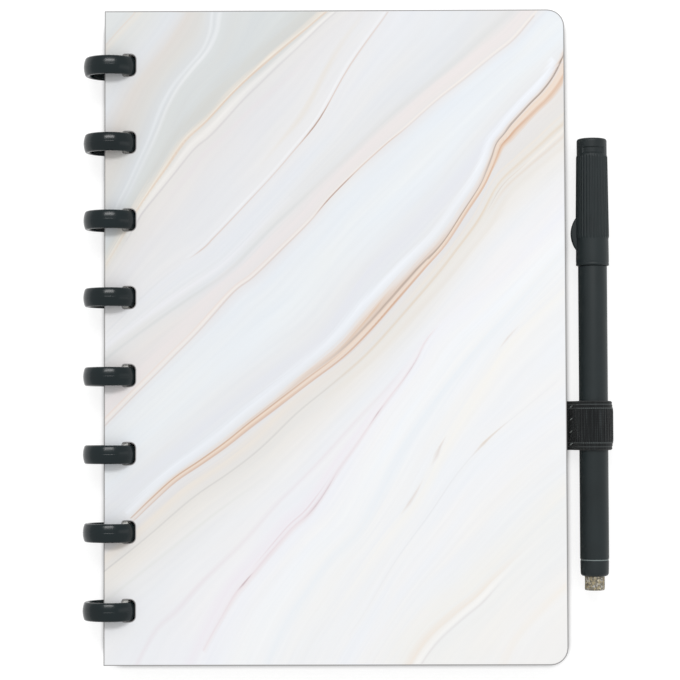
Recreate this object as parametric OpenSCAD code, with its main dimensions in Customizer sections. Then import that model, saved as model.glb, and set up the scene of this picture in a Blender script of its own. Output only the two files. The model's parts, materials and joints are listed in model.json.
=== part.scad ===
// A5 planner held by eight binding discs, with a pen in an elastic loop.
// Millimetres. X runs from the spine to the pen, Y up the page, Z up from the table.
// The discs' common axis, the spine arcs, the slots and the loop all follow from the sizes below.

/* [Covers] */
// Width of a cover from spine edge to fore edge
cover_w = 148; // [120:1:180]
// Height of a cover along the spine
cover_h = 210; // [200:1:240]
// Thickness of the laminated board
cover_t = 0.8; // [0.5:0.1:1.2]
// Radius of the two corners at the fore edge
corner_r = 5.5; // [2:0.5:12]
// Thickness of the printed film on the front cover
film_t = 0.05; // [0.03:0.01:0.1]

/* [Binding discs] */
// Diameter over the rim
disc_d = 17.5; // [16:0.5:19]
// Width of the rim along the spine
rim_w = 6; // [5:0.1:6.4]
// Thickness of the rim across
rim_t = 2.05; // [1.95:0.05:2.3]
// Radius of the rim's crowned face, seen across its width
rim_crown_r = 7.5; // [7:0.5:20]
// Rounding of the rim's edges
rim_edge_r = 0.75; // [0.4:0.05:0.8]
// Thickness of the web inside the rim
web_t = 1.8; // [1.2:0.1:2.4]
// Fillet between web and rim
web_fillet_r = 0.8; // [0.3:0.1:1.2]
// Number of discs
disc_count = 8; // [6:1:8]
// Distance from one disc to the next
disc_pitch = 25; // [24:0.5:26]
// How far the covers reach past the disc axis
spine_lap = 1.6; // [1:0.1:2]

/* [Punched slots] */
// Width of the slot's neck, which straddles the web
neck_w = 3.3; // [2.9:0.1:4]
// Clearance between the two ends of a slot's head and the rim
slot_clear = 0.15; // [0.1:0.05:0.3]
// How far a disc can shift along the spine each way from its middle place
disc_play = 0.3; // [0.1:0.05:0.4]
// Gap that is left beside the rim when a disc has shifted
side_clear = 0.2; // [0.1:0.05:0.3]
// Corner radius of a slot's head beside the neck
head_corner_r = 0.6; // [0.3:0.1:1]
// Corner radius of a slot's head at its far end
head_round_r = 1.7; // [1:0.1:1.8]

/* [Pages] */
// Thickness of the block of sheets
pages_t = 7; // [5:0.2:7.4]
// Width of a sheet
sheet_w = 142; // [110:1:142]
// Height of a sheet
sheet_h = 206; // [196:1:208]
// Corner radius of the sheets at the fore edge
sheet_corner_r = 5; // [2:0.5:10]
// How far the middle of the block lies below the disc axis
pages_drop = 0.7; // [0.6:0.1:0.9]
// Gap between the sheets and the edge of a cover as it swings round the discs
swing_clear = 0.3; // [0.2:0.05:0.5]

/* [Pen loop] */
// Width of the elastic along the pen
loop_w = 15.8; // [10:0.2:20]
// Thickness of the elastic round the pen
elastic_t = 1.4; // [1:0.1:1.6]
// Gap between the elastic and the pen
loop_clear = 0.3; // [0.2:0.05:0.4]
// Thickness of the two layers sewn together
tail_t = 2.2; // [1.6:0.1:2.6]
// Length of the tail glued under the back cover
tail_l = 22; // [12:1:40]
// Distance from the cover's fore edge to the seam
seam_out = 1.3; // [0.8:0.1:2]
// Distance from the middle of the cover down to the middle of the loop
loop_drop = 28.9; // [10:0.1:40]
// Width of the woven edge on each side of the elastic
selvedge_w = 2; // [1:0.1:3]
// Height of the ribs woven across the elastic
rib_h = 0.2; // [0.1:0.05:0.3]
// Distance from one woven rib to the next
rib_pitch = 1; // [0.8:0.1:2]

/* [Pen] */
// Distance from the cover's fore edge to the pen's axis
pen_gap = 9.2; // [8.4:0.1:12]
// Distance from the top of the cover down to the top of the cap
pen_drop = 41.2; // [30:0.5:50]
// Diameter of the barrel
barrel_d = 9.3; // [9:0.1:9.5]
// Bore of the barrel
barrel_bore_d = 7.2; // [6.8:0.1:7.4]
// Length of the barrel behind the cap
barrel_l = 94.3; // [80:0.1:100]
// Diameter of the barrel's neck inside the cap
neck_d = 8.3; // [8.1:0.1:8.5]
// Length of the barrel's neck inside the cap
neck_l = 9; // [6:0.5:12]
// Running clearance of the sliding fits, on the radius
fit = 0.05; // [0.03:0.01:0.08]

/* [Cap] */
// Length of the cap
cap_l = 41.2; // [38:0.2:46]
// Diameter of the cap at its closed end
cap_top_d = 9.7; // [9.5:0.1:10]
// Diameter of the cap at its lip
cap_lip_d = 10.7; // [10.3:0.1:11]
// Thickness of the cap's closed end
cap_end_t = 2.5; // [1.5:0.1:3]
// Length of the plain lip at the open end
lip_l = 2.4; // [1:0.1:4]
// Wall of the cap beside the nib holder
cap_wall = 1.1; // [0.8:0.1:1.3]
// Length of the plain collar at the closed end
collar_l = 2.8; // [2:0.1:4]
// Length of the two recesses behind the collar
recess_l = 2.2; // [1:0.1:3]
// Depth of the recesses
recess_depth = 0.35; // [0.2:0.05:0.5]
// Width of a recess as an angle round the cap
recess_turn = 94; // [60:2:120]
// Number of grip ribs round the cap
grip_count = 32; // [20:1:40]
// Length of the grip ribs
grip_l = 27.6; // [20:0.1:28]
// Height of the grip ribs
grip_h = 0.18; // [0.1:0.02:0.3]
// Wall of the sleeve that seals the nib
seal_wall = 0.65; // [0.5:0.05:0.8]
// How far the fin stands out from the pen's axis
fin_reach = 7; // [6.6:0.1:7.2]
// Length of the fin along the cap
fin_l = 10.6; // [8:0.2:12]
// Thickness of the fin
fin_t = 2.2; // [1.5:0.1:3]
// Distance from the closed end to the middle of the fin
fin_at = 30.8; // [24:0.2:32]

/* [Writing end] */
// Diameter of the nib
nib_d = 2; // [1.4:0.1:2.4]
// Length of the nib in front of its holder
nib_out = 4; // [2:0.5:5]
// Diameter of the holder's front collar
front_d = 4.6; // [4.2:0.1:5]
// Length of the holder's front collar
front_l = 3; // [2:0.5:4]
// Diameter of the holder's cone where it meets the flange
cone_d = 7; // [6.4:0.1:7.2]
// Length of the holder's cone
cone_l = 14.7; // [10:0.1:16]
// Thickness of the holder's flange
flange_t = 1.5; // [1:0.1:2]
// Length of the holder's plug in the barrel
plug_l = 12; // [8:0.5:16]
// Diameter of the ink reservoir
reservoir_d = 6.6; // [6:0.1:6.7]
// Gap between the ink reservoir and the tail plug
reservoir_gap = 2.8; // [0.5:0.1:6]
// How far the nib reaches into the reservoir
nib_in = 4; // [2:0.5:6]

/* [Tail end] */
// Diameter of the tail plug where it meets the barrel
tail_plug_d = 9.2; // [8.6:0.1:9.3]
// Length of the tail plug behind the barrel
tail_plug_l = 5.5; // [4:0.1:8]
// Length of the tail plug inside the barrel
tail_spigot_l = 8; // [6:0.5:10]
// Radius of the tail plug's rounded end
tail_round_r = 1.2; // [0.5:0.1:1.4]
// Diameter of the eraser
eraser_d = 6.4; // [5:0.1:6.4]
// Length of the eraser outside the plug
eraser_out = 4.6; // [3:0.1:6]
// Length of the eraser inside the plug
eraser_in = 5; // [3:0.1:5]

/* [Hidden] */
$fn = 64;
DISCS = [for (i = [1:disc_count]) str("disc_", i)];
COVER_NODES = ["front_cover", "cover_print", "back_cover", "pages"];
PEN_NODES = ["pen_cap", "pen_barrel", "pen_section", "pen_nib", "ink_reservoir", "tail_plug", "eraser"];

// Where each disc sits in its slots, from -1 at the bottom of its play to 1 at the top
DISC_SITS = [-1, -0.3, 0, 0.3, -1, -1, -1, -1];

// Room for a cut to run past a face
past = 1;
// How far outlines that meet smoothly run into each other
hair = 0.01;
disc_r = disc_d / 2;
rim_in_r = disc_r - rim_t;

// The loop touches the table, as the discs do
loop_r = barrel_d / 2 + loop_clear + elastic_t;

// The outline's middle in X is the origin
span_x = disc_r - spine_lap + cover_w + pen_gap + loop_r;
axis_x = disc_r - span_x / 2;
axis_z = disc_r;
spine_x = axis_x - spine_lap;
fore_x = spine_x + cover_w;
pen_x = fore_x + pen_gap;
pen_z = loop_r;

// Heights of the stack, measured from the disc axis
front_in = pages_t / 2 - pages_drop;
front_out = front_in + cover_t;
back_in = pages_t / 2 + pages_drop;
back_out = back_in + cover_t;

// A slot's head spans the rim at the height of either cover
head_near = sqrt(pow(rim_in_r, 2) - pow(back_out, 2)) - slot_clear;
head_far = sqrt(pow(disc_r, 2) - pow(front_in, 2)) + slot_clear;
head_w = rim_w + 2 * (disc_play + side_clear);

// Each sheet's edge keeps one distance from its holes, so the spine follows the rim's arc
sheet_arc_r = disc_r + slot_clear;
sheet_shift = sqrt(pow(sheet_arc_r, 2) - pow(front_out, 2)) - spine_lap - swing_clear;
sheet_fore_x = sheet_arc_r - sheet_shift + sheet_w;

// Distances along the pen from the top of the cap
neck_at = cap_l - neck_l;
flange_at = neck_at - flange_t;
cone_at = flange_at - cone_l;
front_at = cone_at - front_l;
nib_at = front_at - nib_out;
plug_end = neck_at + plug_l;
reservoir_at = plug_end + fit;
barrel_end = cap_l + barrel_l;
spigot_at = barrel_end - tail_spigot_l;
reservoir_end = spigot_at - reservoir_gap;
tail_end = barrel_end + tail_plug_l;
seal_end = cone_at - 4 * fit;
cap_bore_r = neck_d / 2 + fit;
cap_step_at = flange_at - 1;
ribs_at = collar_l + recess_l;

// Marble veins as points across and up the cover, with the widest place of each
COPPER_VEIN = [[149, 188], [133.5, 171.6], [126, 162], [121, 150], [112.7, 136], [103, 125], [95, 117],
  [86, 104], [75.8, 95.2], [61, 86.5], [46.9, 75.3], [31, 64], [18, 54], [4, 43]];
PALE_VEIN = [[71.3, 209], [56, 196], [40.4, 182.8], [27.6, 169.3], [21.2, 160.4], [14, 147]];
THIN_VEIN = [[131, 209], [111, 186], [95, 173], [77.4, 152.3], [62.9, 130], [46, 118], [30.8, 107]];
FINE_VEIN = [[79, 191.5], [70, 178], [62.9, 165.2], [52, 152], [43.7, 141]];
ROSE_VEIN = [[82, 72], [74, 60], [62.9, 46.4], [52, 36], [43.7, 25.5]];
SAND_VEIN = [[129, 27], [118, 17], [109, 9], [95, 1.4]];

// Smooth curve through four points, as the middle stretch of a cubic
function blend(a, b, c, d, t) =
  b + t / 2 * (c - a + t * (2 * a - 5 * b + 4 * c - d + t * (3 * b - a - 3 * c + d)));
// Point at place u along a route, where whole numbers are its own points
function along(route, u) = let (last = len(route) - 1, i = max(min(floor(u), last - 1), 0))
  blend(route[max(i - 1, 0)], route[i], route[i + 1], route[min(i + 2, last)], u - i);
// Direction across a route at place u
function across(route, u) = let (d = along(route, u + 0.05) - along(route, u - 0.05)) [-d[1], d[0]] / norm(d);
// Points of a corner's arc
function arc(centre, r, from, to) = [for (i = [0:6]) centre + r * [cos(from + (to - from) * i / 6),
  sin(from + (to - from) * i / 6)]];
// Angle at which the tangent from point p touches a circle, on the side that sign gives
function touch(p, centre, r, side) = let (d = p - centre) atan2(d[1], d[0]) + side * acos(r / norm(d));
function on_circle(centre, r, angle) = centre + r * [cos(angle), sin(angle)];
// Point where a tangent meets a circle, a hair inside it so that the two outlines cross
function meet(p, centre, r, side) = on_circle(centre, r - hair, touch(p, centre, r, side));

// Sheet outline, square at the spine and rounded at the fore edge
module leaf(w, h, r) {
  translate([0, -h / 2]) square([w - r, h]);
  translate([w - r - past, -h / 2 + r]) square([r + past, h - 2 * r]);
  for (side = [-1, 1]) translate([w - r, side * (h / 2 - r)]) circle(r);
}

// Height up the spine of a disc's slots
function slot_y(i) = ((disc_count + 1) / 2 - i) * disc_pitch;

module each_slot() {
  for (i = [1:disc_count]) translate([0, slot_y(i)]) children();
}

// One end of a slot's head: a strip between two round corners
module head_end(x, r) {
  translate([x - r, -head_w / 2 + r]) square([2 * r, head_w - 2 * r]);
  for (side = [-1, 1]) translate([x, side * (head_w / 2 - r)]) circle(r);
}

// Mushroom slot: a neck for the web, and a head that the rim passes through
module slot() {
  near = head_near + head_corner_r;
  far = head_far - head_round_r;
  translate([-spine_lap - past, -neck_w / 2]) square([spine_lap + past + near, neck_w]);
  translate([near, -head_w / 2]) square([far - near, head_w]);
  head_end(near, head_corner_r);
  head_end(far, head_round_r);
}

// Cover outline from the spine edge, with its slots
module cover_outline() {
  difference() {
    translate([spine_x, 0]) leaf(cover_w, cover_h, corner_r);
    translate([axis_x, 0]) each_slot() slot();
  }
}

module front_cover() {
  color("whitesmoke") translate([0, 0, axis_z + front_in]) linear_extrude(cover_t) cover_outline();
}

module back_cover() {
  color("whitesmoke") translate([0, 0, axis_z - back_out]) linear_extrude(cover_t) cover_outline();
}

// Band of print along a route, widest in the middle and pointed at its ends
module vein(route, widest) {
  steps = 5 * (len(route) - 1);
  places = [for (i = [0:steps]) i / 5];
  half = [for (i = [0:steps]) widest / 2 * (0.08 + 0.92 * pow(sin(180 * i / steps), 2))];
  left = [for (i = [0:steps]) along(route, places[i]) + half[i] * across(route, places[i])];
  right = [for (i = [steps:-1:0]) along(route, places[i]) - half[i] * across(route, places[i])];
  polygon(concat(left, right));
}

// Printed veins of the marble pattern, kept off the slots and inside the cover's edges
module cover_print() {
  color("tan") translate([0, 0, axis_z + front_out]) linear_extrude(film_t) intersection() {
    cover_outline();
    translate([spine_x, -cover_h / 2]) union() {
      vein(COPPER_VEIN, 4.5);
      vein(PALE_VEIN, 1.6);
      vein(THIN_VEIN, 0.9);
      vein(FINE_VEIN, 0.9);
      vein(ROSE_VEIN, 1.2);
      vein(SAND_VEIN, 2);
    }
  }
}

// Side view of the block: both edges follow the arc that the holes make round the rims
module pages_section() {
  intersection() {
    translate([0, -back_in]) square([sheet_fore_x, pages_t]);
    difference() {
      union() {
        square([2 * (sheet_w - sheet_shift), 4 * disc_r], center = true);
        translate([sheet_w - sheet_shift, 0]) circle(sheet_arc_r);
      }
      translate([-sheet_shift, 0]) circle(sheet_arc_r);
    }
  }
}

// Ring that a disc's rim turns in, and the neck that its web turns in
module page_slot() {
  rotate([90, 0, 0]) translate([0, 0, -head_w / 2]) rotate_extrude()
    translate([rim_in_r - slot_clear, 0]) square([sheet_arc_r - rim_in_r + slot_clear, head_w]);
  translate([0, -neck_w / 2, -2 * pages_t]) cube([rim_in_r - slot_clear + 0.1, neck_w, 4 * pages_t]);
}

module pages() {
  color("ivory") translate([axis_x, 0, axis_z]) difference() {
    intersection() {
      rotate([90, 0, 0]) linear_extrude(cover_h, center = true) pages_section();
      translate([0, 0, -2 * pages_t]) linear_extrude(4 * pages_t) leaf(sheet_fore_x, sheet_h, sheet_corner_r);
    }
    each_slot() page_slot();
  }
}

// Rim's section: round edges, and a crowned face that runs into the outer ones
module rim_section() {
  edge_y = rim_w / 2 - rim_edge_r;
  crown_x = disc_r - rim_crown_r;
  inner_x = rim_in_r + rim_edge_r;
  outer_x = crown_x + sqrt(pow(rim_crown_r - rim_edge_r, 2) - pow(edge_y, 2)) + hair;
  translate([rim_in_r, -edge_y]) square([outer_x - rim_in_r, 2 * edge_y]);
  translate([inner_x, -rim_w / 2]) square([outer_x - inner_x, rim_w]);
  for (x = [inner_x, outer_x], side = [-1, 1]) translate([x, side * edge_y]) circle(rim_edge_r);
  intersection() {
    translate([crown_x, 0]) circle(rim_crown_r);
    polygon([[crown_x, 0], [2 * outer_x - crown_x, 2 * edge_y], [2 * outer_x - crown_x, -2 * edge_y]]);
    translate([inner_x, -rim_w / 2]) square([rim_t, rim_w]);
  }
}

// Half of the disc's section: web, rim and the fillets between them
module disc_section() {
  translate([0, -web_t / 2]) square([rim_in_r + past / 2, web_t]);
  rim_section();
  for (side = [-1, 1]) mirror([0, side < 0 ? 1 : 0]) difference() {
    translate([rim_in_r - web_fillet_r, 0]) square([web_fillet_r + hair, web_t / 2 + web_fillet_r]);
    translate([rim_in_r - web_fillet_r, web_t / 2 + web_fillet_r]) circle(web_fillet_r);
  }
}

module disc(i) {
  sits = DISC_SITS[i - 1] * disc_play;
  color("#17191b") translate([axis_x, slot_y(i) + sits, axis_z]) rotate([90, 0, 0])
    rotate_extrude() disc_section();
}

// Loop seen along the pen: a round turn that closes to the seam beside the cover
module loop_section(r) {
  turn = [pen_x, pen_z];
  seam_x = fore_x + seam_out;
  top = [seam_x, axis_z - back_out];
  bottom = [seam_x, axis_z - back_out - tail_t];
  translate(turn) circle(r);
  polygon([top, meet(top, turn, r, -1), turn, meet(bottom, turn, r, 1), bottom]);
}

// Space inside the loop, round beside the pen and pointed at the seam
module loop_opening() {
  r = loop_r - elastic_t;
  turn = [pen_x, pen_z];
  seam = [fore_x + 2 * seam_out, axis_z - back_out - tail_t / 2];
  translate(turn) circle(r);
  polygon([seam, meet(seam, turn, r, -1), turn, meet(seam, turn, r, 1)]);
}

// Woven ribs lie parallel to the pen all round the turn
module woven_ribs() {
  turn = [pen_x, pen_z];
  from = touch([fore_x + seam_out, axis_z - back_out - tail_t], turn, loop_r, 1) - 360;
  to = touch([fore_x + seam_out, axis_z - back_out], turn, loop_r, -1);
  count = floor((to - from) / 180 * PI * loop_r / rib_pitch);
  rib_r = 1.5 * rib_h;
  centre_r = loop_r - rib_r - rib_h / 4;
  for (i = [1:count - 1]) translate(on_circle(turn, centre_r, from + (to - from) * i / count)) circle(rib_r);
}

// Elastic band: smooth selvedges, a ribbed middle, and a tail under the cover
module pen_loop() {
  middle_w = loop_w - 2 * selvedge_w;
  color("#1b1c1e") translate([0, -loop_drop, 0]) rotate([90, 0, 0]) {
    difference() {
      union() {
        for (side = [-1, 1]) translate([0, 0, side * (loop_w - selvedge_w) / 2])
          linear_extrude(selvedge_w, center = true) loop_section(loop_r);
        linear_extrude(middle_w, center = true) {
          loop_section(loop_r - rib_h);
          woven_ribs();
        }
      }
      linear_extrude(loop_w + 2 * past, center = true) loop_opening();
    }
    translate([fore_x - tail_l, axis_z - back_out - tail_t, -loop_w / 2])
      cube([tail_l + seam_out, tail_t, loop_w]);
  }
}

// Places a turned piece on the pen's axis, with distances counted from the top of the cap
module on_pen() {
  translate([pen_x, cover_h / 2 - pen_drop, pen_z]) rotate([90, 0, 0]) children();
}

module turned(points) {
  on_pen() rotate_extrude() polygon(points);
}

// Cap's section: rounded end, taper and lip outside; bore, step and seal sleeve inside
function cap_section() = let (
    top_r = cap_top_d / 2,
    lip_r = cap_lip_d / 2,
    inner_r = top_r - cap_wall,
    seal_in = front_d / 2 + fit,
    edge = 0.8)
  concat(
    [[0, 0]],
    arc([top_r - edge, edge], edge, -90, 0),
    [[top_r, ribs_at], [lip_r - 0.05, cap_l - lip_l]],
    arc([lip_r - 0.3, cap_l - 0.3], 0.3, 0, 90),
    [[cap_bore_r, cap_l], [cap_bore_r, cap_step_at]],
    [[inner_r, cap_step_at - 1], [inner_r, cap_end_t]],
    [[seal_in + seal_wall, cap_end_t], [seal_in + seal_wall, seal_end]],
    [[seal_in, seal_end], [seal_in, cap_end_t], [0, cap_end_t]]);

// Shallow recess with sloping ends, on one side of the cap behind its collar
module recess() {
  top_r = cap_top_d / 2;
  floor_r = top_r - recess_depth;
  rotate([0, 0, 90 - recess_turn / 2]) rotate_extrude(angle = recess_turn) polygon([
    [floor_r, collar_l + recess_depth],
    [top_r + past, collar_l - past],
    [top_r + past, ribs_at + past],
    [floor_r, ribs_at - recess_depth]]);
}

// One grip rib, with a cone for its crest and sloping ends
module grip_rib() {
  slope = (cap_lip_d - cap_top_d) / 2 / (cap_l - lip_l - ribs_at);
  start_r = cap_top_d / 2 + grip_h;
  rotate_extrude(angle = 180 / grip_count) polygon([
    [start_r - 2 * grip_h, ribs_at + 0.4],
    [start_r + slope, ribs_at + 1],
    [start_r + slope * (grip_l - 1), ribs_at + grip_l - 1],
    [start_r - 2 * grip_h + slope * grip_l, ribs_at + grip_l]]);
}

// Half-moon fin that keeps the pen from rolling
module fin() {
  height = fin_reach - cap_lip_d / 2;
  fin_r = (pow(fin_l / 2, 2) + pow(height, 2)) / (2 * height);
  intersection() {
    translate([fin_r - fin_reach, 0, fin_at]) rotate([90, 0, 0]) cylinder(r = fin_r, h = fin_t, center = true);
    translate([-fin_reach - past, -fin_t, fin_at - fin_l])
      cube([fin_reach + past - cap_top_d / 2 + cap_wall / 2, 2 * fin_t, 2 * fin_l]);
  }
}

module pen_cap() {
  color("#2b3032") on_pen() {
    difference() {
      rotate_extrude() polygon(cap_section());
      recess();
      rotate([0, 0, 180]) recess();
    }
    for (i = [0:grip_count - 1]) rotate([0, 0, i * 360 / grip_count]) grip_rib();
    fin();
  }
}

module pen_barrel() {
  barrel_r = barrel_d / 2;
  bore_r = barrel_bore_d / 2;
  chamfer = 0.15;
  color("#2b3032") turned([
    [bore_r, neck_at],
    [neck_d / 2 - chamfer, neck_at],
    [neck_d / 2, neck_at + chamfer],
    [neck_d / 2, cap_l],
    [barrel_r - chamfer, cap_l],
    [barrel_r, cap_l + chamfer],
    [barrel_r, barrel_end - chamfer],
    [barrel_r - chamfer, barrel_end],
    [bore_r, barrel_end]]);
}

// Nib holder: front collar, cone, flange and a plug in the barrel
module pen_section() {
  hole_r = nib_d / 2 + fit;
  color("#1f2324") turned([
    [hole_r, front_at],
    [front_d / 2 - 0.3, front_at],
    [front_d / 2, front_at + 0.3],
    [front_d / 2, cone_at],
    [cone_d / 2, flange_at],
    [neck_d / 2 - fit, flange_at],
    [neck_d / 2 - fit, neck_at],
    [barrel_bore_d / 2 - fit, neck_at],
    [barrel_bore_d / 2 - fit, plug_end],
    [hole_r, plug_end]]);
}

module pen_nib() {
  nib_r = nib_d / 2;
  tip_r = nib_r / 2;
  color("#101112") turned(concat(
    [[0, nib_at]],
    arc([0, nib_at + tip_r], tip_r, -75, -15),
    [[nib_r, nib_at + nib_out * 0.7], [nib_r, reservoir_at + nib_in], [0, reservoir_at + nib_in]]));
}

module ink_reservoir() {
  socket_r = nib_d / 2 + fit;
  color("gainsboro") turned([
    [socket_r, reservoir_at],
    [reservoir_d / 2, reservoir_at],
    [reservoir_d / 2, reservoir_end],
    [0, reservoir_end],
    [0, reservoir_at + nib_in + fit],
    [socket_r, reservoir_at + nib_in + fit]]);
}

// Tail plug: a spigot in the barrel, a shallow ring, a rounded end and the eraser's socket
module tail_plug() {
  spigot_r = barrel_bore_d / 2 - fit;
  plug_r = tail_plug_d / 2;
  socket_r = eraser_d / 2 + fit;
  ring_l = 0.5;
  color("#23282a") turned(concat(
    [[0, spigot_at], [spigot_r, spigot_at], [spigot_r, barrel_end]],
    [[plug_r - 0.25, barrel_end], [plug_r - 0.25, barrel_end + ring_l], [plug_r, barrel_end + ring_l]],
    arc([plug_r - 0.15 - tail_round_r, tail_end - tail_round_r], tail_round_r, 0, 90),
    [[socket_r, tail_end], [socket_r, tail_end - eraser_in], [0, tail_end - eraser_in]]));
}

module eraser() {
  eraser_r = eraser_d / 2;
  edge = 0.5;
  color("darkkhaki") turned(concat(
    [[0, tail_end - eraser_in], [eraser_r, tail_end - eraser_in]],
    arc([eraser_r - edge, tail_end + eraser_out - edge], edge, 0, 90),
    [[0, tail_end + eraser_out]]));
}

front_cover();
cover_print();
back_cover();
pages();
for (i = [1:disc_count]) disc(i);
pen_loop();
pen_cap();
pen_barrel();
pen_section();
pen_nib();
ink_reservoir();
tail_plug();
eraser();
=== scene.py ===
# Looks of a disc-bound planner with a pen in an elastic loop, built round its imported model
# Shapes are worked out in millimetres and put into the meshes in metres
import json
import math

import bpy
import numpy as np
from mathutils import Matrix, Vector, geometry


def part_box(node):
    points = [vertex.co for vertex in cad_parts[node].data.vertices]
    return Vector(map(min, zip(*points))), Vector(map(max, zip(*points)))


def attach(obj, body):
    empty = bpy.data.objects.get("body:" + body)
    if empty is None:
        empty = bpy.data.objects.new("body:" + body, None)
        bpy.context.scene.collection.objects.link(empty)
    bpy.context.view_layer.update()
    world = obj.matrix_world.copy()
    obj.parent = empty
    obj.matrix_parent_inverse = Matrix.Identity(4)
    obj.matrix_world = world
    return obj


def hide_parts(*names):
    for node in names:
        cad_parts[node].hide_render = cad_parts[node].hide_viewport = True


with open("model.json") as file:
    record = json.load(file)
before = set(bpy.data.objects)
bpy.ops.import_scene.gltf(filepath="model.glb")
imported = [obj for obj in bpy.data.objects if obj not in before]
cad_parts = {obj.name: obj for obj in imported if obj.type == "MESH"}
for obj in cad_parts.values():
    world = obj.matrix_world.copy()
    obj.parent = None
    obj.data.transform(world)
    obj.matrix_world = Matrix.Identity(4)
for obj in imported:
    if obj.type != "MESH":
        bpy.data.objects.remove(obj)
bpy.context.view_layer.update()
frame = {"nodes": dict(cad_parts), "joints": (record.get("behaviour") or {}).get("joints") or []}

mm = 0.001
cadNodes = frame["nodes"]
joints = {joint["name"]: joint for joint in frame["joints"]}
axisX, _, axisZ = [value / mm for value in joints["front_cover_hinge"]["pos_m"]]
discNames = sorted(name for name in cadNodes if name.startswith("disc_"))


def nodeBox(name):
    low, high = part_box(name)
    return np.array(low) / mm, np.array(high) / mm


# Surfaces

def gridFaces(rows, columns, rowsClose=False, columnsClose=False):
    # quads between neighbouring lines of a grid; a direction that closes joins its last line to its first
    row = np.arange(rows if rowsClose else rows - 1)[:, None]
    column = np.arange(columns if columnsClose else columns - 1)[None, :]
    nextRow, nextColumn = (row + 1) % rows, (column + 1) % columns
    corners = [row * columns + column, row * columns + nextColumn,
               nextRow * columns + nextColumn, nextRow * columns + column]
    return np.stack(np.broadcast_arrays(*corners), axis=-1).reshape(-1, 4)


def fanFaces(centre, ring):
    # triangles from one point to every side of a closed ring
    return np.stack([np.full(len(ring), centre), ring, np.roll(ring, -1)], axis=-1)


def closedTube(rings):
    # a grid of closed rings, whose first and last ring are filled from their middles
    rows, columns, parts = rings.shape
    count = rows * columns
    points = np.concatenate([rings.reshape(-1, parts), [rings[0].mean(axis=0), rings[-1].mean(axis=0)]])
    ring = np.arange(columns)
    return points, [gridFaces(rows, columns, columnsClose=True), fanFaces(count, ring)[:, ::-1],
                    fanFaces(count + 1, ring + count - columns)]


def outward(points, faceSets):
    # the triple products of a closed surface's triangles add up to six volumes, below 0 if it is inside out
    volume = 0.0
    for faces in faceSets:
        for k in range(1, faces.shape[1] - 1):
            a, b, c = points[faces[:, 0]], points[faces[:, k]], points[faces[:, k + 1]]
            volume += np.sum(a * np.cross(b, c))
    return faceSets if volume > 0 else [faces[:, ::-1] for faces in faceSets]


def makePiece(name, points, faceSets, material, body, stands=(), sharp=35):
    points = np.asarray(points, float).reshape(-1, 3) * mm
    faceSets = outward(points, faceSets)
    sizes = np.concatenate([np.full(len(faces), faces.shape[1]) for faces in faceSets])
    corners = np.concatenate([faces.ravel() for faces in faceSets])
    mesh = bpy.data.meshes.new(name)
    mesh.vertices.add(len(points))
    mesh.vertices.foreach_set("co", points.ravel().astype(np.float32))
    mesh.loops.add(len(corners))
    mesh.loops.foreach_set("vertex_index", corners.astype(np.int32))
    mesh.polygons.add(len(sizes))
    mesh.polygons.foreach_set("loop_start", (np.cumsum(sizes) - sizes).astype(np.int32))
    mesh.update(calc_edges=True)
    mesh.validate()
    mesh.shade_smooth()
    mesh.set_sharp_from_angle(angle=math.radians(sharp))
    mesh.materials.append(material)
    piece = bpy.data.objects.new(name, mesh)
    bpy.context.scene.collection.objects.link(piece)
    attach(piece, body)
    if stands:
        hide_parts(*stands)
    return piece


def storePlaces(piece, stored):
    # three values for every point of a piece, which its material reads by their name
    for name, values in stored.items():
        attribute = piece.data.attributes.new(name, "FLOAT_VECTOR", "POINT")
        attribute.data.foreach_set("vector", values.astype(np.float32).ravel())


def arcPoints(centre, radius, start, end, steps):
    # points of a circle's arc between two angles in degrees
    angle = np.radians(np.linspace(start, end, steps))
    return np.stack([centre[0] + radius * np.cos(angle), centre[1] + radius * np.sin(angle)], axis=1)


def softProfile(corners, steps=5):
    # each corner (radius, distance, cut) is cut back along both sides and bridged by a parabola
    corners = np.asarray(corners, float)
    line = []
    for k, (x, y, cut) in enumerate(corners):
        here = np.array([x, y])
        if cut == 0 or k in (0, len(corners) - 1):
            line.append(here[None])
            continue
        before, after = corners[k - 1, :2] - here, corners[k + 1, :2] - here
        start = here + before / np.linalg.norm(before) * cut
        end = here + after / np.linalg.norm(after) * cut
        t = np.linspace(0, 1, steps)[:, None]
        line.append((1 - t) ** 2 * start + 2 * t * (1 - t) * here + t ** 2 * end)
    return np.concatenate(line)


def turnedSurface(profile, axis, along, steps, bump=None, ring=False):
    # carries a profile of (radius, distance) round an axis along Y: x = r cos a, y = distance, z = r sin a
    # a profile that starts and ends on the axis is closed by two poles, and a ring closes on itself
    angle = np.arange(steps) * 2 * math.pi / steps
    turning = profile if ring else profile[1:-1]
    radius = turning[:, :1] + (bump(turning, angle) if bump else np.zeros(steps))
    distance = np.broadcast_to(turning[:, 1:], radius.shape)
    points = np.stack([axis[0] + radius * np.cos(angle), axis[1] + along * distance,
                       axis[2] + radius * np.sin(angle)], axis=-1).reshape(-1, 3)
    faceSets = [gridFaces(len(turning), steps, rowsClose=ring, columnsClose=True)]
    if not ring:
        poles = [[axis[0], axis[1] + along * profile[end, 1], axis[2]] for end in (0, -1)]
        count = len(points)
        points = np.concatenate([points, poles])
        faceSets.append(fanFaces(count, np.arange(steps))[:, ::-1])
        faceSets.append(fanFaces(count + 1, np.arange(count - steps, count)))
    return points, faceSets


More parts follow.
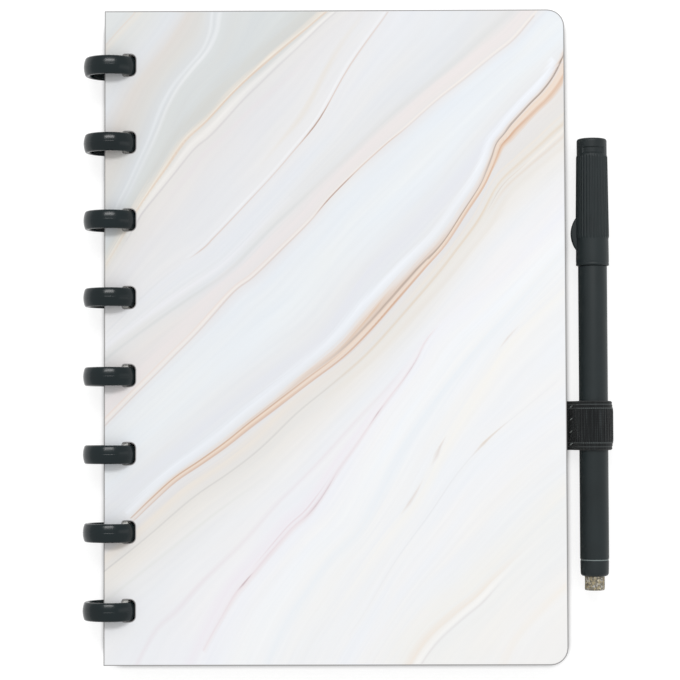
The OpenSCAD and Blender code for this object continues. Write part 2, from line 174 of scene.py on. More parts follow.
def roundedPath(corners, steps):
    # each corner (x, y, r) becomes the arc of a circle that touches both of its sides
    corners = np.asarray(corners, float)
    here, radius = corners[:, :2], corners[:, 2:]
    before, after = np.roll(here, 1, axis=0) - here, np.roll(here, -1, axis=0) - here
    before = before / np.linalg.norm(before, axis=1, keepdims=True)
    after = after / np.linalg.norm(after, axis=1, keepdims=True)
    half = np.arccos(np.clip(np.sum(before * after, axis=1, keepdims=True), -1, 1)) / 2
    middle = (before + after) / np.linalg.norm(before + after, axis=1, keepdims=True)
    centre = here + middle * radius / np.sin(half)
    start = here + before * radius / np.tan(half) - centre
    end = here + after * radius / np.tan(half) - centre
    turn = (math.pi - 2 * half)[:, None]
    t = np.linspace(0, 1, steps)[None, :, None]
    spokes = (np.sin((1 - t) * turn) * start[:, None] + np.sin(t * turn) * end[:, None]) / np.sin(turn)
    return (centre[:, None] + spokes).reshape(-1, 2)


def smoothRoute(points, steps):
    # cubic curve through every point, which runs there as the line between the point's two neighbours does
    points = np.asarray(points, float)
    ends = np.concatenate([2 * points[:1] - points[1:2], points, 2 * points[-1:] - points[-2:-1]])
    slope = (ends[2:] - ends[:-2]) / 2
    t = np.linspace(0, 1, steps, endpoint=False)[None, :, None]
    a, b, da, db = points[:-1, None], points[1:, None], slope[:-1, None], slope[1:, None]
    curve = ((2 * t ** 3 - 3 * t ** 2 + 1) * a + (t ** 3 - 2 * t ** 2 + t) * da
             + (3 * t ** 2 - 2 * t ** 3) * b + (t ** 3 - t ** 2) * db)
    return np.concatenate([curve.reshape(-1, points.shape[1]), points[-1:]])


# Materials

def linear(red, green, blue):
    # a colour as screens show it, from 0 to 255, made linear
    share = np.array([red, green, blue]) / 255
    return (*np.where(share <= 0.04045, share / 12.92, ((share + 0.055) / 1.055) ** 2.4), 1.0)


def addNode(tree, kind, inputs=None, **settings):
    node = tree.nodes.new("ShaderNode" + kind)
    for setting, value in settings.items():
        setattr(node, setting, value)
    for socket, value in (inputs or {}).items():
        if isinstance(value, bpy.types.NodeSocket):
            tree.links.new(value, node.inputs[socket])
        else:
            node.inputs[socket].default_value = value
    return node


def startMaterial(name, inputs):
    material = bpy.data.materials.new(name)
    material.use_nodes = True
    shader = material.node_tree.nodes["Principled BSDF"]
    for socket, value in inputs.items():
        shader.inputs[socket].default_value = value
    return material, material.node_tree, shader


def maths(tree, operation, first, second=0.0):
    return addNode(tree, "Math", {0: first, 1: second}, operation=operation).outputs[0]


def scaled(tree, place, scale):
    return addNode(tree, "Mapping", {"Vector": place, "Scale": scale}).outputs["Vector"]


def objectPlace(tree, scale=(1, 1, 1)):
    return scaled(tree, addNode(tree, "TexCoord").outputs["Object"], scale)


def storedPlace(tree, name):
    return addNode(tree, "Attribute", attribute_name=name).outputs["Vector"]


def partsOf(tree, vector):
    return addNode(tree, "SeparateXYZ", {"Vector": vector}).outputs


def noiseAt(tree, place, scale, detail=3.0, roughness=0.5):
    return addNode(tree, "TexNoise", {"Vector": place, "Scale": scale, "Detail": detail,
                                      "Roughness": roughness}).outputs["Fac"]


def spread(tree, value, low, high, newLow, newHigh, kind="LINEAR"):
    return addNode(tree, "MapRange", {"Value": value, "From Min": low, "From Max": high, "To Min": newLow,
                                      "To Max": newHigh}, interpolation_type=kind).outputs["Result"]


def mixColours(tree, share, first, second, blend="MIX"):
    # sockets 0, 6 and 7 of the node take the share and the two colours
    node = addNode(tree, "Mix", {0: share, 6: first, 7: second}, data_type="RGBA", blend_type=blend)
    return node.outputs[2]


def rampOf(tree, value, stops, kind="LINEAR"):
    # stops are (place from 0 to 1, colour with cover)
    node = addNode(tree, "ValToRGB", {"Fac": value})
    node.color_ramp.interpolation = kind
    elements = node.color_ramp.elements
    elements[0].position, elements[0].color = stops[0]
    elements[1].position, elements[1].color = stops[-1]
    for position, colour in stops[1:-1]:
        elements.new(position).color = colour
    return node.outputs


def addBump(tree, shader, height, distance, strength=1.0):
    bump = addNode(tree, "Bump", {"Height": height, "Distance": distance, "Strength": strength})
    tree.links.new(bump.outputs["Normal"], shader.inputs["Normal"])


def plasticFinish(name, colour, roughness, grain, grainDepth):
    # moulded plastic: a fine even grain, and gloss and shade that vary a little from place to place
    material, tree, shader = startMaterial(name, {"Specular IOR Level": 0.35})
    place = objectPlace(tree)
    patches = spread(tree, noiseAt(tree, place, 90.0, 2.0), 0.3, 0.7, 0.0, 1.0)
    darker, lighter = ([min(share * part, 1) for part in colour[:3]] + [1] for share in (0.85, 1.15))
    tree.links.new(mixColours(tree, patches, darker, lighter), shader.inputs["Base Color"])
    gloss = spread(tree, patches, 0.0, 1.0, 0.9 * roughness, 1.12 * roughness)
    tree.links.new(gloss, shader.inputs["Roughness"])
    addBump(tree, shader, noiseAt(tree, place, grain, 2.0), grainDepth)
    return material


discFinish = plasticFinish("discPlastic", linear(10, 25, 28), 0.21, 900.0, 0.0000012)
penFinish = plasticFinish("penPlastic", linear(27, 36, 38), 0.46, 4200.0, 0.000008)
# pale plastic for the painted highlight ring at the tail plug
highlightRingFinish = plasticFinish("paintedHighlightPlastic", linear(122, 132, 132), 0.35, 4200.0, 0.000004)
nibFinish = plasticFinish("nibFibre", linear(22, 22, 24), 0.8, 9000.0, 0.00001)


def boardFinish():
    # laminated white board: almost flat, with faint fibre clouds and a slight texture
    material, tree, shader = startMaterial("boardWhite", {"Roughness": 0.42})
    place = objectPlace(tree)
    clouds = noiseAt(tree, place, 160.0, 4.0)
    shade = mixColours(tree, clouds, linear(236, 236, 235), linear(246, 246, 245))
    tree.links.new(shade, shader.inputs["Base Color"])
    addBump(tree, shader, noiseAt(tree, place, 2500.0, 2.0), 0.000006)
    return material


boardWhite = boardFinish()
for name in ("front_cover", "back_cover"):
    cadNodes[name].data.materials.clear()
    cadNodes[name].data.materials.append(boardWhite)
print("boards finished")


# Binding discs

discShape = {
    "rimWidth": 6.0,
    "rimThick": 2.05,
    "crownRadius": 7.5,
    "edgeRadius": 0.75,
    "webThick": 1.8,
    "webStep": 2.5,  # a line of points on the web, this far inside the rim
    "fillet": 0.8,
    "seamHeight": 0.035,  # faint line where the two halves of the mould met
    "seamWidth": 0.07,
    "turns": 176,
}


def discProfile(shape, across):
    # half section from the web's middle past fillet and rim edge to the crown's middle, and its mirror image
    rimOut, rimIn = across / 2 - shape["seamHeight"], across / 2 - shape["rimThick"]
    edge, fillet, half = shape["edgeRadius"], shape["fillet"], shape["webThick"] / 2
    edgeY = shape["rimWidth"] / 2 - edge
    crownX = rimOut - shape["crownRadius"]
    edgeX = crownX + math.sqrt((shape["crownRadius"] - edge) ** 2 - edgeY ** 2)
    meeting = math.degrees(math.atan2(edgeY, edgeX - crownX))
    # steps grow shorter towards the mould line
    toMiddle = meeting * np.linspace(1, 0, 22) ** 1.6
    crown = np.stack([crownX + shape["crownRadius"] * np.cos(np.radians(toMiddle)),
                      shape["crownRadius"] * np.sin(np.radians(toMiddle))], axis=1)
    crown[:, 0] += shape["seamHeight"] * np.exp(-(crown[:, 1] / shape["seamWidth"]) ** 2)
    upper = np.concatenate([
        [[0, half], [rimIn - shape["webStep"], half]],
        arcPoints((rimIn - fillet, half + fillet), fillet, -90, 0, 7),
        arcPoints((rimIn + edge, edgeY), edge, 180, 90, 7),
        arcPoints((edgeX, edgeY), edge, 90, meeting, 9)[:-1],
        crown,
    ])
    return np.concatenate([upper, upper[-2::-1] * (1, -1)])


for name in discNames:
    low, high = nodeBox(name)
    spin = joints[name + "_spin"]["pos_m"]
    profile = discProfile(discShape, high[2] - low[2])
    points, faceSets = turnedSurface(profile, (axisX, spin[1] / mm, axisZ), 1, discShape["turns"])
    makePiece("bindingDisc" + name[5:], points, faceSets, discFinish, name, [name])
print("discs made:", len(discNames))


# Pen, with every distance counted from the closed end of the cap

penLow, penHigh = nodeBox("pen_barrel")
capTop = nodeBox("pen_cap")[1][1]
penAxis = ((penLow[0] + penHigh[0]) / 2, capTop, (penLow[2] + penHigh[2]) / 2)


def alongPen(y):
    return capTop - y


capShape = {
    "length": 41.2,
    "topD": 9.7,
    "lipD": 10.7,
    "lip": 2.4,
    "endThick": 2.5,
    "collar": 2.8,
    "recess": 2.2,
    "recessDepth": 0.35,
    "recessHalfTurn": 47,
    "recessSlope": 6,
    "gripLength": 27.6,
    "gripHeight": 0.2,
    "gripCount": 32,
    "bore": 8.4,
    "boreDepth": 11.5,
    "inner": 7.5,
    "sealIn": 4.7,
    "sealOut": 6.0,
    "sealEnd": 15.8,
    "lipLine": 1.0,  # fine groove round the lip, this far from its end
    "lipLineDepth": 0.09,
    "lipLineWidth": 0.14,
    "lipRound": 0.3,
    "inset": 0.05,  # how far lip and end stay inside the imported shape
    "step": 0.18,
    "turns": 352,
}


def capProfile(shape):
    # outside from the closed end to the lip in even steps, then the bore, the step, the seal sleeve and back
    topR, lipR, length = shape["topD"] / 2, shape["lipD"] / 2, shape["length"]
    gripFrom = shape["collar"] + shape["recess"]
    end = softProfile([[0, 0, 0], [topR, 0, 0.9], [topR, 2, 0]], 9)
    side = np.arange(1.2, length - 0.5, shape["step"])
    sideR = np.interp(side, [gripFrom, length - shape["lip"]], [topR, lipR - shape["inset"]])
    fromLine = side - length + shape["lipLine"]
    sideR -= shape["lipLineDepth"] * np.exp(-(fromLine / shape["lipLineWidth"]) ** 2)
    cornerIn = shape["inset"] + shape["lipRound"]
    lip = arcPoints((lipR - cornerIn, length - cornerIn), shape["lipRound"], 0, 90, 6)
    inside = [[shape["bore"] / 2, length - shape["inset"], 0.1],
              [shape["bore"] / 2, length - shape["boreDepth"], 0.1],
              [shape["inner"] / 2, length - shape["boreDepth"] - 1, 0.1],
              [shape["inner"] / 2, shape["endThick"], 0.2],
              [shape["sealOut"] / 2, shape["endThick"], 0.1], [shape["sealOut"] / 2, shape["sealEnd"], 0.2],
              [shape["sealIn"] / 2, shape["sealEnd"], 0.2], [shape["sealIn"] / 2, shape["endThick"], 0.1],
              [0, shape["endThick"], 0]]
    return np.concatenate([end[:-1], np.stack([sideR, side], axis=1), lip, softProfile(inside, 3)])


def smoothStep(value, low, high):
    # rises from 0 at low to 1 at high, level at both ends
    t = np.clip((value - low) / (high - low), 0, 1)
    return t * t * (3 - 2 * t)


def capRelief(shape):
    # grip ribs are a cosine round the cap with flattened tops, and two recesses lie at the top and bottom
    def relief(profile, angle):
        radius, distance = profile[:, :1], profile[:, 1:]
        outside = radius > shape["topD"] / 2 - 0.3
        outside &= distance < shape["length"] - shape["lip"]
        gripFrom = shape["collar"] + shape["recess"]
        gripTo = gripFrom + shape["gripLength"]
        length = smoothStep(distance, gripFrom + 0.3, gripFrom + 1.1)
        length = length * (1 - smoothStep(distance, gripTo - 1, gripTo))
        rib = smoothStep(np.cos(shape["gripCount"] * angle), -0.55, 0.75)
        away = np.abs((np.degrees(angle) % 180) - 90)
        turn = 1 - smoothStep(away, shape["recessHalfTurn"] - shape["recessSlope"], shape["recessHalfTurn"])
        groove = smoothStep(distance, shape["collar"], shape["collar"] + 0.35)
        groove = groove * (1 - smoothStep(distance, gripFrom - 0.35, gripFrom))
        return np.where(outside, shape["gripHeight"] * length * rib - shape["recessDepth"] * groove * turn, 0)
    return relief


finShape = {
    "reach": 7.0,
    "length": 10.6,
    "thick": 2.2,
    "middle": 30.8,
    "rootIn": 0.9,  # how far the root lies inside the cap's wall
    "edgeIn": 0.45,  # how far the rounded edge falls back at both sides
}


def finSurface(shape, capR):
    # a circular segment standing along the cap, whose edge is half an ellipse across and has no corners
    height = shape["reach"] - capR
    radius = ((shape["length"] / 2) ** 2 + height ** 2) / (2 * height)
    spreadAngle = math.asin(min((shape["length"] / 2 + 1.0) / radius, 1))
    angle = np.linspace(-spreadAngle, spreadAngle, 72)[:, None]
    across = np.linspace(0, math.pi, 25)[None, :]
    inset = shape["edgeIn"] * (1 - np.sin(across) ** 0.7)
    rootX = capR - shape["rootIn"]
    out = np.maximum((radius - inset) * np.cos(angle) - radius + shape["reach"], rootX + 0.05)
    distance = shape["middle"] + (radius - inset) * np.sin(angle)
    side = np.broadcast_to(-shape["thick"] / 2 * np.cos(across), out.shape)
    crest = np.stack([penAxis[0] - out, alongPen(distance), penAxis[2] + side], axis=-1)
    root = crest.copy()
    root[..., 0] = penAxis[0] - rootX
    return closedTube(np.concatenate([crest, root[:, ::-1]], axis=1))


points, faceSets = turnedSurface(capProfile(capShape), penAxis, -1, capShape["turns"], capRelief(capShape))
makePiece("penCap", points, faceSets, penFinish, "cap", ["pen_cap"])
gripFrom, lipFrom = capShape["collar"] + capShape["recess"], capShape["length"] - capShape["lip"]
finCapR = np.interp(finShape["middle"], [gripFrom, lipFrom], [capShape["topD"] / 2, capShape["lipD"] / 2])
points, faceSets = finSurface(finShape, finCapR)
makePiece("capFin", points, faceSets, penFinish, "cap", sharp=60)

barrelShape = {
    "outerD": 9.3,
    "neckD": 8.3,
    "boreD": 7.2,
    "neck": 9.0,
    "length": 94.3,
}


def barrelProfile(shape, capLength):
    # a ring: neck inside the cap, shoulder, long plain side, end, and back along the bore
    neckAt, end = capLength - shape["neck"], capLength + shape["length"]
    outerR, neckR, boreR = shape["outerD"] / 2, shape["neckD"] / 2, shape["boreD"] / 2
    corners = [[boreR, neckAt + 1, 0], [boreR, neckAt, 0.08], [neckR, neckAt, 0.15], [neckR, capLength, 0.06],
               [outerR, capLength, 0.2], [outerR, end, 0.2], [boreR, end, 0.08], [boreR, end - 1, 0]]
    return softProfile(corners, 5)


points, faceSets = turnedSurface(barrelProfile(barrelShape, capShape["length"]), penAxis, -1, 160, ring=True)
makePiece("penBarrel", points, faceSets, penFinish, "pen", ["pen_barrel"])

holderShape = {
    "nibD": 2.0,
    "nibOut": 4.0,
    "nibIn": 4.0,
    "collarD": 4.6,
    "collar": 3.0,
    "coneD": 7.0,
    "cone": 14.7,
    "flange": 1.5,
    "plug": 12.0,
    "fit": 0.05,
}


def holderProfile(shape):
    # a ring: hole for the nib, front collar, cone, flange against the barrel, and the plug inside it
    neckAt = capShape["length"] - barrelShape["neck"]
    flangeAt = neckAt - shape["flange"]
    coneAt = flangeAt - shape["cone"]
    frontAt = coneAt - shape["collar"]
    plugEnd = neckAt + shape["plug"]
    holeR, plugR = shape["nibD"] / 2 + shape["fit"], barrelShape["boreD"] / 2 - shape["fit"]
    flangeR = barrelShape["neckD"] / 2 - shape["fit"]
    collarR, coneR = shape["collarD"] / 2, shape["coneD"] / 2
    corners = [[holeR, frontAt + 1, 0], [holeR, frontAt, 0.1], [collarR, frontAt, 0.4],
               [collarR, coneAt, 0.3], [coneR, flangeAt, 0.3], [flangeR, flangeAt, 0.15],
               [flangeR, neckAt, 0.1], [plugR, neckAt, 0.05], [plugR, plugEnd, 0.2],
               [holeR, plugEnd, 0.1], [holeR, plugEnd - 1, 0]]
    return softProfile(corners, 6), frontAt, plugEnd + shape["fit"]


profile, frontAt, reservoirAt = holderProfile(holderShape)
points, faceSets = turnedSurface(profile, penAxis, -1, 128, ring=True)
makePiece("nibHolder", points, faceSets, penFinish, "pen", ["pen_section"])
nibR = holderShape["nibD"] / 2
nibFrom, nibTo = frontAt - holderShape["nibOut"], reservoirAt + holderShape["nibIn"]
profile = softProfile([[0, nibFrom, 0], [nibR * 0.55, nibFrom, 0.4], [nibR, frontAt - 1.2, 0.6],
                       [nibR, nibTo, 0.1], [0, nibTo, 0]], 7)
points, faceSets = turnedSurface(profile, penAxis, -1, 64)
makePiece("penNib", points, faceSets, nibFinish, "pen", ["pen_nib"])

tailShape = {
    "plugD": 9.2,
    "plug": 5.5,
    "spigot": 8.0,
    "ringDepth": 0.25,
    "ring": 0.5,
    "highlightIn": 0.1,  # the pale ring, a painted highlight, goes this far below the groove's floor, and this far above it
    "highlightOut": 0.17,
    "feltRough": 0.035,
    "eraserD": 6.4,
    "eraserOut": 4.6,
    "eraserIn": 5.0,
}


def tailProfile(shape, barrelEnd):
    # spigot in the barrel, shallow ring, rounded end, and the socket that holds the eraser
    end = barrelEnd + shape["plug"]
    spigotEnd, socketEnd = barrelEnd - shape["spigot"], end - shape["eraserIn"]
    ringEnd = barrelEnd + shape["ring"]
    spigotR, plugR = barrelShape["boreD"] / 2 - 0.05, shape["plugD"] / 2
    grooveR, socketR = plugR - shape["ringDepth"], shape["eraserD"] / 2 + 0.05
    corners = [[0, spigotEnd, 0], [spigotR, spigotEnd, 0.3], [spigotR, barrelEnd, 0.05],
               [grooveR, barrelEnd, 0.05], [grooveR, ringEnd, 0.05], [plugR, ringEnd, 0.12],
               [plugR - 0.1, end, 1.3], [socketR, end, 0.15], [socketR, socketEnd, 0.05], [0, socketEnd, 0]]
    return softProfile(corners, 8), end


barrelEnd = capShape["length"] + barrelShape["length"]
profile, tailEnd = tailProfile(tailShape, barrelEnd)
points, faceSets = turnedSurface(profile, penAxis, -1, 144)
makePiece("tailPlug", points, faceSets, penFinish, "pen", ["tail_plug"])

# painted highlight: a pale ring in the groove between barrel and tail plug stands in for the glint on its
# edge
ringR = tailShape["plugD"] / 2 - tailShape["ringDepth"]
highlightFrom, highlightTo = barrelEnd + 0.1, barrelEnd + tailShape["ring"] - 0.05
highlightInner, highlightOuter = ringR - tailShape["highlightIn"], ringR + tailShape["highlightOut"]
corners = [[highlightInner, highlightFrom, 0], [highlightOuter, highlightFrom, 0.06],
           [highlightOuter, highlightTo, 0.06], [highlightInner, highlightTo, 0]]
points, faceSets = turnedSurface(softProfile(corners, 5), penAxis, -1, 144, ring=True)
makePiece("paintedHighlightRing", points, faceSets, highlightRingFinish, "pen")


def feltFinish():
    # bonded fibres of many colours: cells of dark, gold and pale grey over a tan ground
    material, tree, shader = startMaterial("eraserFelt", {"Roughness": 0.95})
    place = objectPlace(tree)
    cells = addNode(tree, "TexVoronoi", {"Vector": place, "Scale": 1900.0, "Randomness": 1.0})
    pick = addNode(tree, "SeparateColor", {"Color": cells.outputs["Color"]}).outputs["Red"]
    shades = [(0.0, linear(66, 62, 56)), (0.2, linear(176, 160, 122)), (0.42, linear(124, 118, 106)),
              (0.6, linear(236, 226, 196)), (0.76, linear(96, 90, 80)), (0.88, linear(202, 202, 200))]
    fibres = rampOf(tree, pick, shades, "CONSTANT")[0]
    soft = mixColours(tree, noiseAt(tree, place, 1500.0, 3.0), fibres, linear(146, 140, 124))
    tree.links.new(soft, shader.inputs["Base Color"])
    addBump(tree, shader, noiseAt(tree, place, 3800.0, 4.0), 0.00012)
    return material


def feltRelief(profile, angle):
    # a rough surface: sums of waves round and along the felt whose phases share no pattern
    distance = profile[:, 1:]
    waves = np.sin(9 * angle + 5.1 * distance) * np.sin(3.7 * distance + 2 * angle)
    waves = waves + np.sin(23 * angle - 11 * distance) * np.cos(13 * distance + 7 * angle)
    waves = waves + 0.7 * np.sin(41 * angle + 19 * distance)
    shown = smoothStep(distance, tailEnd, tailEnd + 0.4)
    return tailShape["feltRough"] * waves * shown * np.minimum(profile[:, :1] / 3, 1)


eraserR = tailShape["eraserD"] / 2 - 0.04
eraserFrom, eraserTo = tailEnd - tailShape["eraserIn"], tailEnd + tailShape["eraserOut"] - 0.08
sideSteps = [[eraserR, d, 0] for d in np.arange(tailEnd + 0.1, tailEnd + tailShape["eraserOut"] - 0.8, 0.12)]
endSteps = [[r, eraserTo, 0] for r in np.arange(eraserR - 0.7, 0.2, -0.15)]
profile = softProfile([[0, eraserFrom, 0], [eraserR, eraserFrom, 0.1], *sideSteps, [eraserR, eraserTo, 0.55],
                       *endSteps, [0, eraserTo, 0]], 6)
points, faceSets = turnedSurface(profile, penAxis, -1, 144, feltRelief)
makePiece("feltEraser", points, faceSets, feltFinish(), "pen", ["eraser"], sharp=80)


def fibreFinish():
    # bonded white fibre, with streaks along the pen
    material, tree, shader = startMaterial("reservoirFibre", {"Roughness": 0.9})
    streaks = noiseAt(tree, objectPlace(tree, (1, 0.08, 1)), 2500.0, 3.0)
    shade = mixColours(tree, streaks, linear(200, 200, 200), linear(240, 240, 238))
    tree.links.new(shade, shader.inputs["Base Color"])
    addBump(tree, shader, streaks, 0.00003)
    return material


cadNodes["ink_reservoir"].data.materials.clear()
cadNodes["ink_reservoir"].data.materials.append(fibreFinish())
print("pen made")


# Elastic loop

loopShape = {
    "width": 15.8,
    "tail": 22.0,
    "seamOut": 1.3,
    "thick": 1.12,
    "selvedge": 2.0,
    "cordPitch": 1.0,
    "cordHeight": 0.15,
    "threadIn": 2.35,  # pale thread beside each selvedge, this far from the band's edge
    "threadHeight": 0.1,
    "ribPitch": 1.0,
    "ribHeight": 0.2,
    "edgeDrop": 0.38,  # how far the selvedges pull in towards the pen
    "edgeRound": 0.45,
    "step": 0.09,
    "stitches": 4,
    "stitchPitch": 4.0,
    "stitchAt": 2.9,  # beyond the start of the turn
    "stitchThick": 0.6,
    "stitchHalf": 0.6,
    "stitchArch": 0.16,
    "stitchSlant": 0.4,
    "closeTo": 2.8,  # the grid is close over this width at each edge
    "smoothOver": 13,  # steps over which the corners of the route are rounded
}


loopLow, loopHigh = nodeBox("pen_loop")
loopMiddle = (loopLow[1] + loopHigh[1]) / 2


def bandRoute(shape):
    # side view of the band: out along the upper layer, round the pen, and back along the lower layer
    foreX = nodeBox("back_cover")[1][0]
    underCover = nodeBox("back_cover")[0][2]
    half = shape["thick"] / 2
    radius = loopHigh[0] - penAxis[0] - half - 0.6 * shape["ribHeight"]
    pen = np.array([penAxis[0], penAxis[2]])
    seamX = foreX + shape["seamOut"]
    upper, lower = np.array([seamX, underCover - half]), np.array([seamX, underCover - 3 * half])
    angles = []
    for seam, side in ((upper, -1), (lower, 1)):
        away = seam - pen
        touching = math.atan2(away[1], away[0]) + side * math.acos(radius / np.linalg.norm(away))
        angles.append(math.degrees(touching))
    turn = arcPoints(pen, radius, angles[0] + 360, angles[1], 240)  # over the top and back below
    tailX = foreX - shape["tail"]
    route = np.concatenate([[[tailX, upper[1]], upper], turn, [lower, [tailX, lower[1]]]])
    length = np.concatenate([[0], np.cumsum(np.linalg.norm(np.diff(route, axis=0), axis=1))])
    places = np.arange(0, length[-1], shape["step"])
    even = np.stack([np.interp(places, length, route[:, k]) for k in (0, 1)], axis=1)
    window = np.hanning(shape["smoothOver"])
    window = window / window.sum()
    beyond = shape["smoothOver"] // 2
    padded = np.pad(even, ((beyond, beyond), (0, 0)), mode="edge")
    soft = np.stack([np.convolve(padded[:, k], window, mode="valid") for k in (0, 1)], axis=1)
    inTurn = (places > length[1]) & (places < length[-2])
    return soft, inTurn, places - length[1]


def bandSurface(shape):
    # the band's cross-section, a flat loop with round edges, is carried along the route
    route, inTurn, fromSeam = bandRoute(shape)
    ahead = np.gradient(route, axis=0)
    ahead /= np.linalg.norm(ahead, axis=1, keepdims=True)
    outNormal = np.stack([-ahead[:, 1], ahead[:, 0]], axis=1)
    half, edge = shape["width"] / 2, shape["edgeRound"]
    closeV = np.linspace(1, 1 - shape["closeTo"] / half, 22)
    faceV = np.concatenate([-closeV, np.linspace(-closeV[-1], closeV[-1], 14)[1:-1], closeV[::-1]])
    underV = np.linspace(1, -1, 17)
    v = np.concatenate([faceV, underV])[None, :]
    side = np.concatenate([np.ones(len(faceV)), -np.ones(len(underV))])[None, :]
    depth = half - np.abs(v) * half
    roundEdge = np.sqrt(np.clip(1 - np.clip((edge - depth) / edge, 0, 1) ** 2, 0.02, 1))
    middle = smoothStep(depth, shape["threadIn"] + 0.1, shape["threadIn"] + 0.45)
    cords = shape["cordHeight"] * (np.sin(math.pi * depth / shape["cordPitch"]) ** 2) ** 0.6
    cords = (cords - 0.6 * shape["cordHeight"]) * (depth < shape["selvedge"])
    phase = 2 * math.pi * fromSeam[:, None] / shape["ribPitch"]
    thread = np.exp(-((depth - shape["threadIn"]) / 0.17) ** 2) * (0.75 + 0.25 * np.sin(1.6 * phase))
    ribs = shape["ribHeight"] * ((0.5 - 0.5 * np.cos(phase)) ** 0.8 - 0.55) * middle
    relief = np.where(side > 0, ribs + cords + shape["threadHeight"] * thread, 0)
    drop = shape["edgeDrop"] * smoothStep(np.abs(v), 0.55, 1) * inTurn[:, None]
    offset = side * shape["thick"] / 2 * roundEdge + relief * roundEdge - drop
    offset = np.broadcast_to(offset, (len(route), v.shape[1]))
    x = route[:, :1] + outNormal[:, :1] * offset
    z = route[:, 1:] + outNormal[:, 1:] * offset
    y = loopMiddle + np.broadcast_to(v * half, x.shape)
    pale = thread + 0.6 * np.exp(-((depth - 1.1 * shape["cordPitch"]) / 0.22) ** 2)
    pale = np.where(side > 0, pale * inTurn[:, None], 0)
    along = np.broadcast_to(fromSeam[:, None], x.shape)
    points, faceSets = closedTube(np.stack([x, y, z, along, y, pale], axis=-1))
    return points[:, :3], faceSets, points[:, 3:]


def elasticFinish():
    # black woven elastic: matt, with warp threads that catch light in short runs and a fine weave
    material, tree, shader = startMaterial("wovenElastic", {
        "Roughness": 0.86, "Sheen Weight": 0.2, "Sheen Roughness": 0.45, "Specular IOR Level": 0.3})
    weave = storedPlace(tree, "weave")
    pale = partsOf(tree, weave)[2]
    runs = noiseAt(tree, scaled(tree, weave, (3.4, 0.09, 0)), 1.0, 2.0)
    waves = {"Vector": scaled(tree, weave, (0, 1, 0)), "Scale": 0.42, "Distortion": 0.6, "Detail": 1.0}
    fine = addNode(tree, "TexWave", waves, wave_type="BANDS", bands_direction="Y").outputs["Fac"]
    shade = mixColours(tree, spread(tree, runs, 0.5, 0.68, 0.0, 1.0), linear(18, 21, 22), linear(50, 55, 56))
    shade = mixColours(tree, spread(tree, fine, 0.0, 0.5, 0.45, 0.0), shade, linear(11, 13, 14))
    shade = mixColours(tree, spread(tree, pale, 0.25, 0.9, 0.0, 0.8), shade, linear(104, 110, 110))
    tree.links.new(shade, shader.inputs["Base Color"])
    addBump(tree, shader, fine, 0.00005)
    return material


def stitchSurface(shape):
    # a stitch is a thread that arches out of the band and back: its way grows with t, its height as 1 - t^2
    route, _, fromSeam = bandRoute(shape)
    row = np.argmin(np.abs(fromSeam - shape["stitchAt"]))
    ahead = route[row + 1] - route[row - 1]
    ahead = ahead / np.linalg.norm(ahead)
    out = np.array([-ahead[1], ahead[0]])
    t = np.linspace(-1, 1, 15)[:, None]
    angle = np.arange(12)[None, :] * math.pi / 6
    radius = shape["stitchThick"] / 2 * np.sqrt(np.clip(1.02 - t ** 6, 0.05, 1))
    way = shape["stitchHalf"] * t + radius * np.cos(angle)
    height = shape["thick"] / 2 + 0.02 + shape["stitchArch"] * (1 - t ** 2) + radius * np.sin(angle)
    x = route[row, 0] + ahead[0] * way + out[0] * height
    z = route[row, 1] + ahead[1] * way + out[1] * height
    stitches, faceSets = [], []
    for k in range(shape["stitches"]):
        y = loopMiddle + (k - (shape["stitches"] - 1) / 2) * shape["stitchPitch"] + shape["stitchSlant"] * t
        points, faces = closedTube(np.stack([x, np.broadcast_to(y, x.shape), z], axis=-1))
        stitches.append(points)
        faceSets += [part + k * len(points) for part in faces]
    return np.concatenate(stitches), faceSets


def threadFinish():
    # sewing thread: twisted strands as bands across it
    material, tree, shader = startMaterial("sewingThread", {"Roughness": 0.7, "Sheen Weight": 0.2})
    strands = noiseAt(tree, objectPlace(tree, (1, 0.5, 1)), 5200.0, 2.0)
    strands = spread(tree, strands, 0.35, 0.65, 0.0, 1.0)
    shade = mixColours(tree, strands, linear(112, 118, 118), linear(172, 178, 176))
    tree.links.new(shade, shader.inputs["Base Color"])
    addBump(tree, shader, strands, 0.00004)
    return material


points, faceSets, weave = bandSurface(loopShape)
elastic = elasticFinish()
band = makePiece("elasticLoop", points, faceSets, elastic, "back_cover", ["pen_loop"], sharp=60)
storePlaces(band, {"weave": weave})
points, faceSets = stitchSurface(loopShape)
makePiece("seamStitches", points, faceSets, threadFinish(), "back_cover", sharp=60)
print("elastic loop made")


# Covers and their printed films

slotShape = {
    "pitch": 25.0,
    "neck": 3.3,
    "head": 7.0,
    "near": 4.31,
    "far": 8.44,
    "nearRound": 0.6,
    "farRound": 1.7,
    "cornerRound": 5.5,
}


def coverOutline(shape):
    # round a cover: up the spine with its mushroom slots, then the fore edge with its two round corners
    low, high = nodeBox("front_cover")
    sharpR = 0.02
    near, far = axisX + shape["near"], axisX + shape["far"]
    half, neck = shape["head"] / 2, shape["neck"] / 2
    corners = []
    for k in range(len(discNames)):
        middle = (k - (len(discNames) - 1) / 2) * shape["pitch"]
        slot = [[low[0], -neck, sharpR], [near, -neck, sharpR], [near, -half, shape["nearRound"]],
                [far, -half, shape["farRound"]], [far, half, shape["farRound"]],
                [near, half, shape["nearRound"]], [near, neck, sharpR], [low[0], neck, sharpR]]
        corners += [[x, middle + y, r] for x, y, r in slot]
    corners += [[low[0], high[1], sharpR], [high[0], high[1], shape["cornerRound"]],
                [high[0], low[1], shape["cornerRound"]], [low[0], low[1], sharpR]]
    return roundedPath(corners, 7)


def edgeDistance(points, outline):
    # from each point to the nearest side of a closed outline
    along = np.roll(outline, -1, axis=0) - outline
    away = points[:, None] - outline
    t = np.clip(np.sum(away * along, axis=2) / np.maximum(np.sum(along * along, axis=1), 1e-12), 0, 1)
    return np.linalg.norm(away - t[..., None] * along, axis=2).min(axis=1)


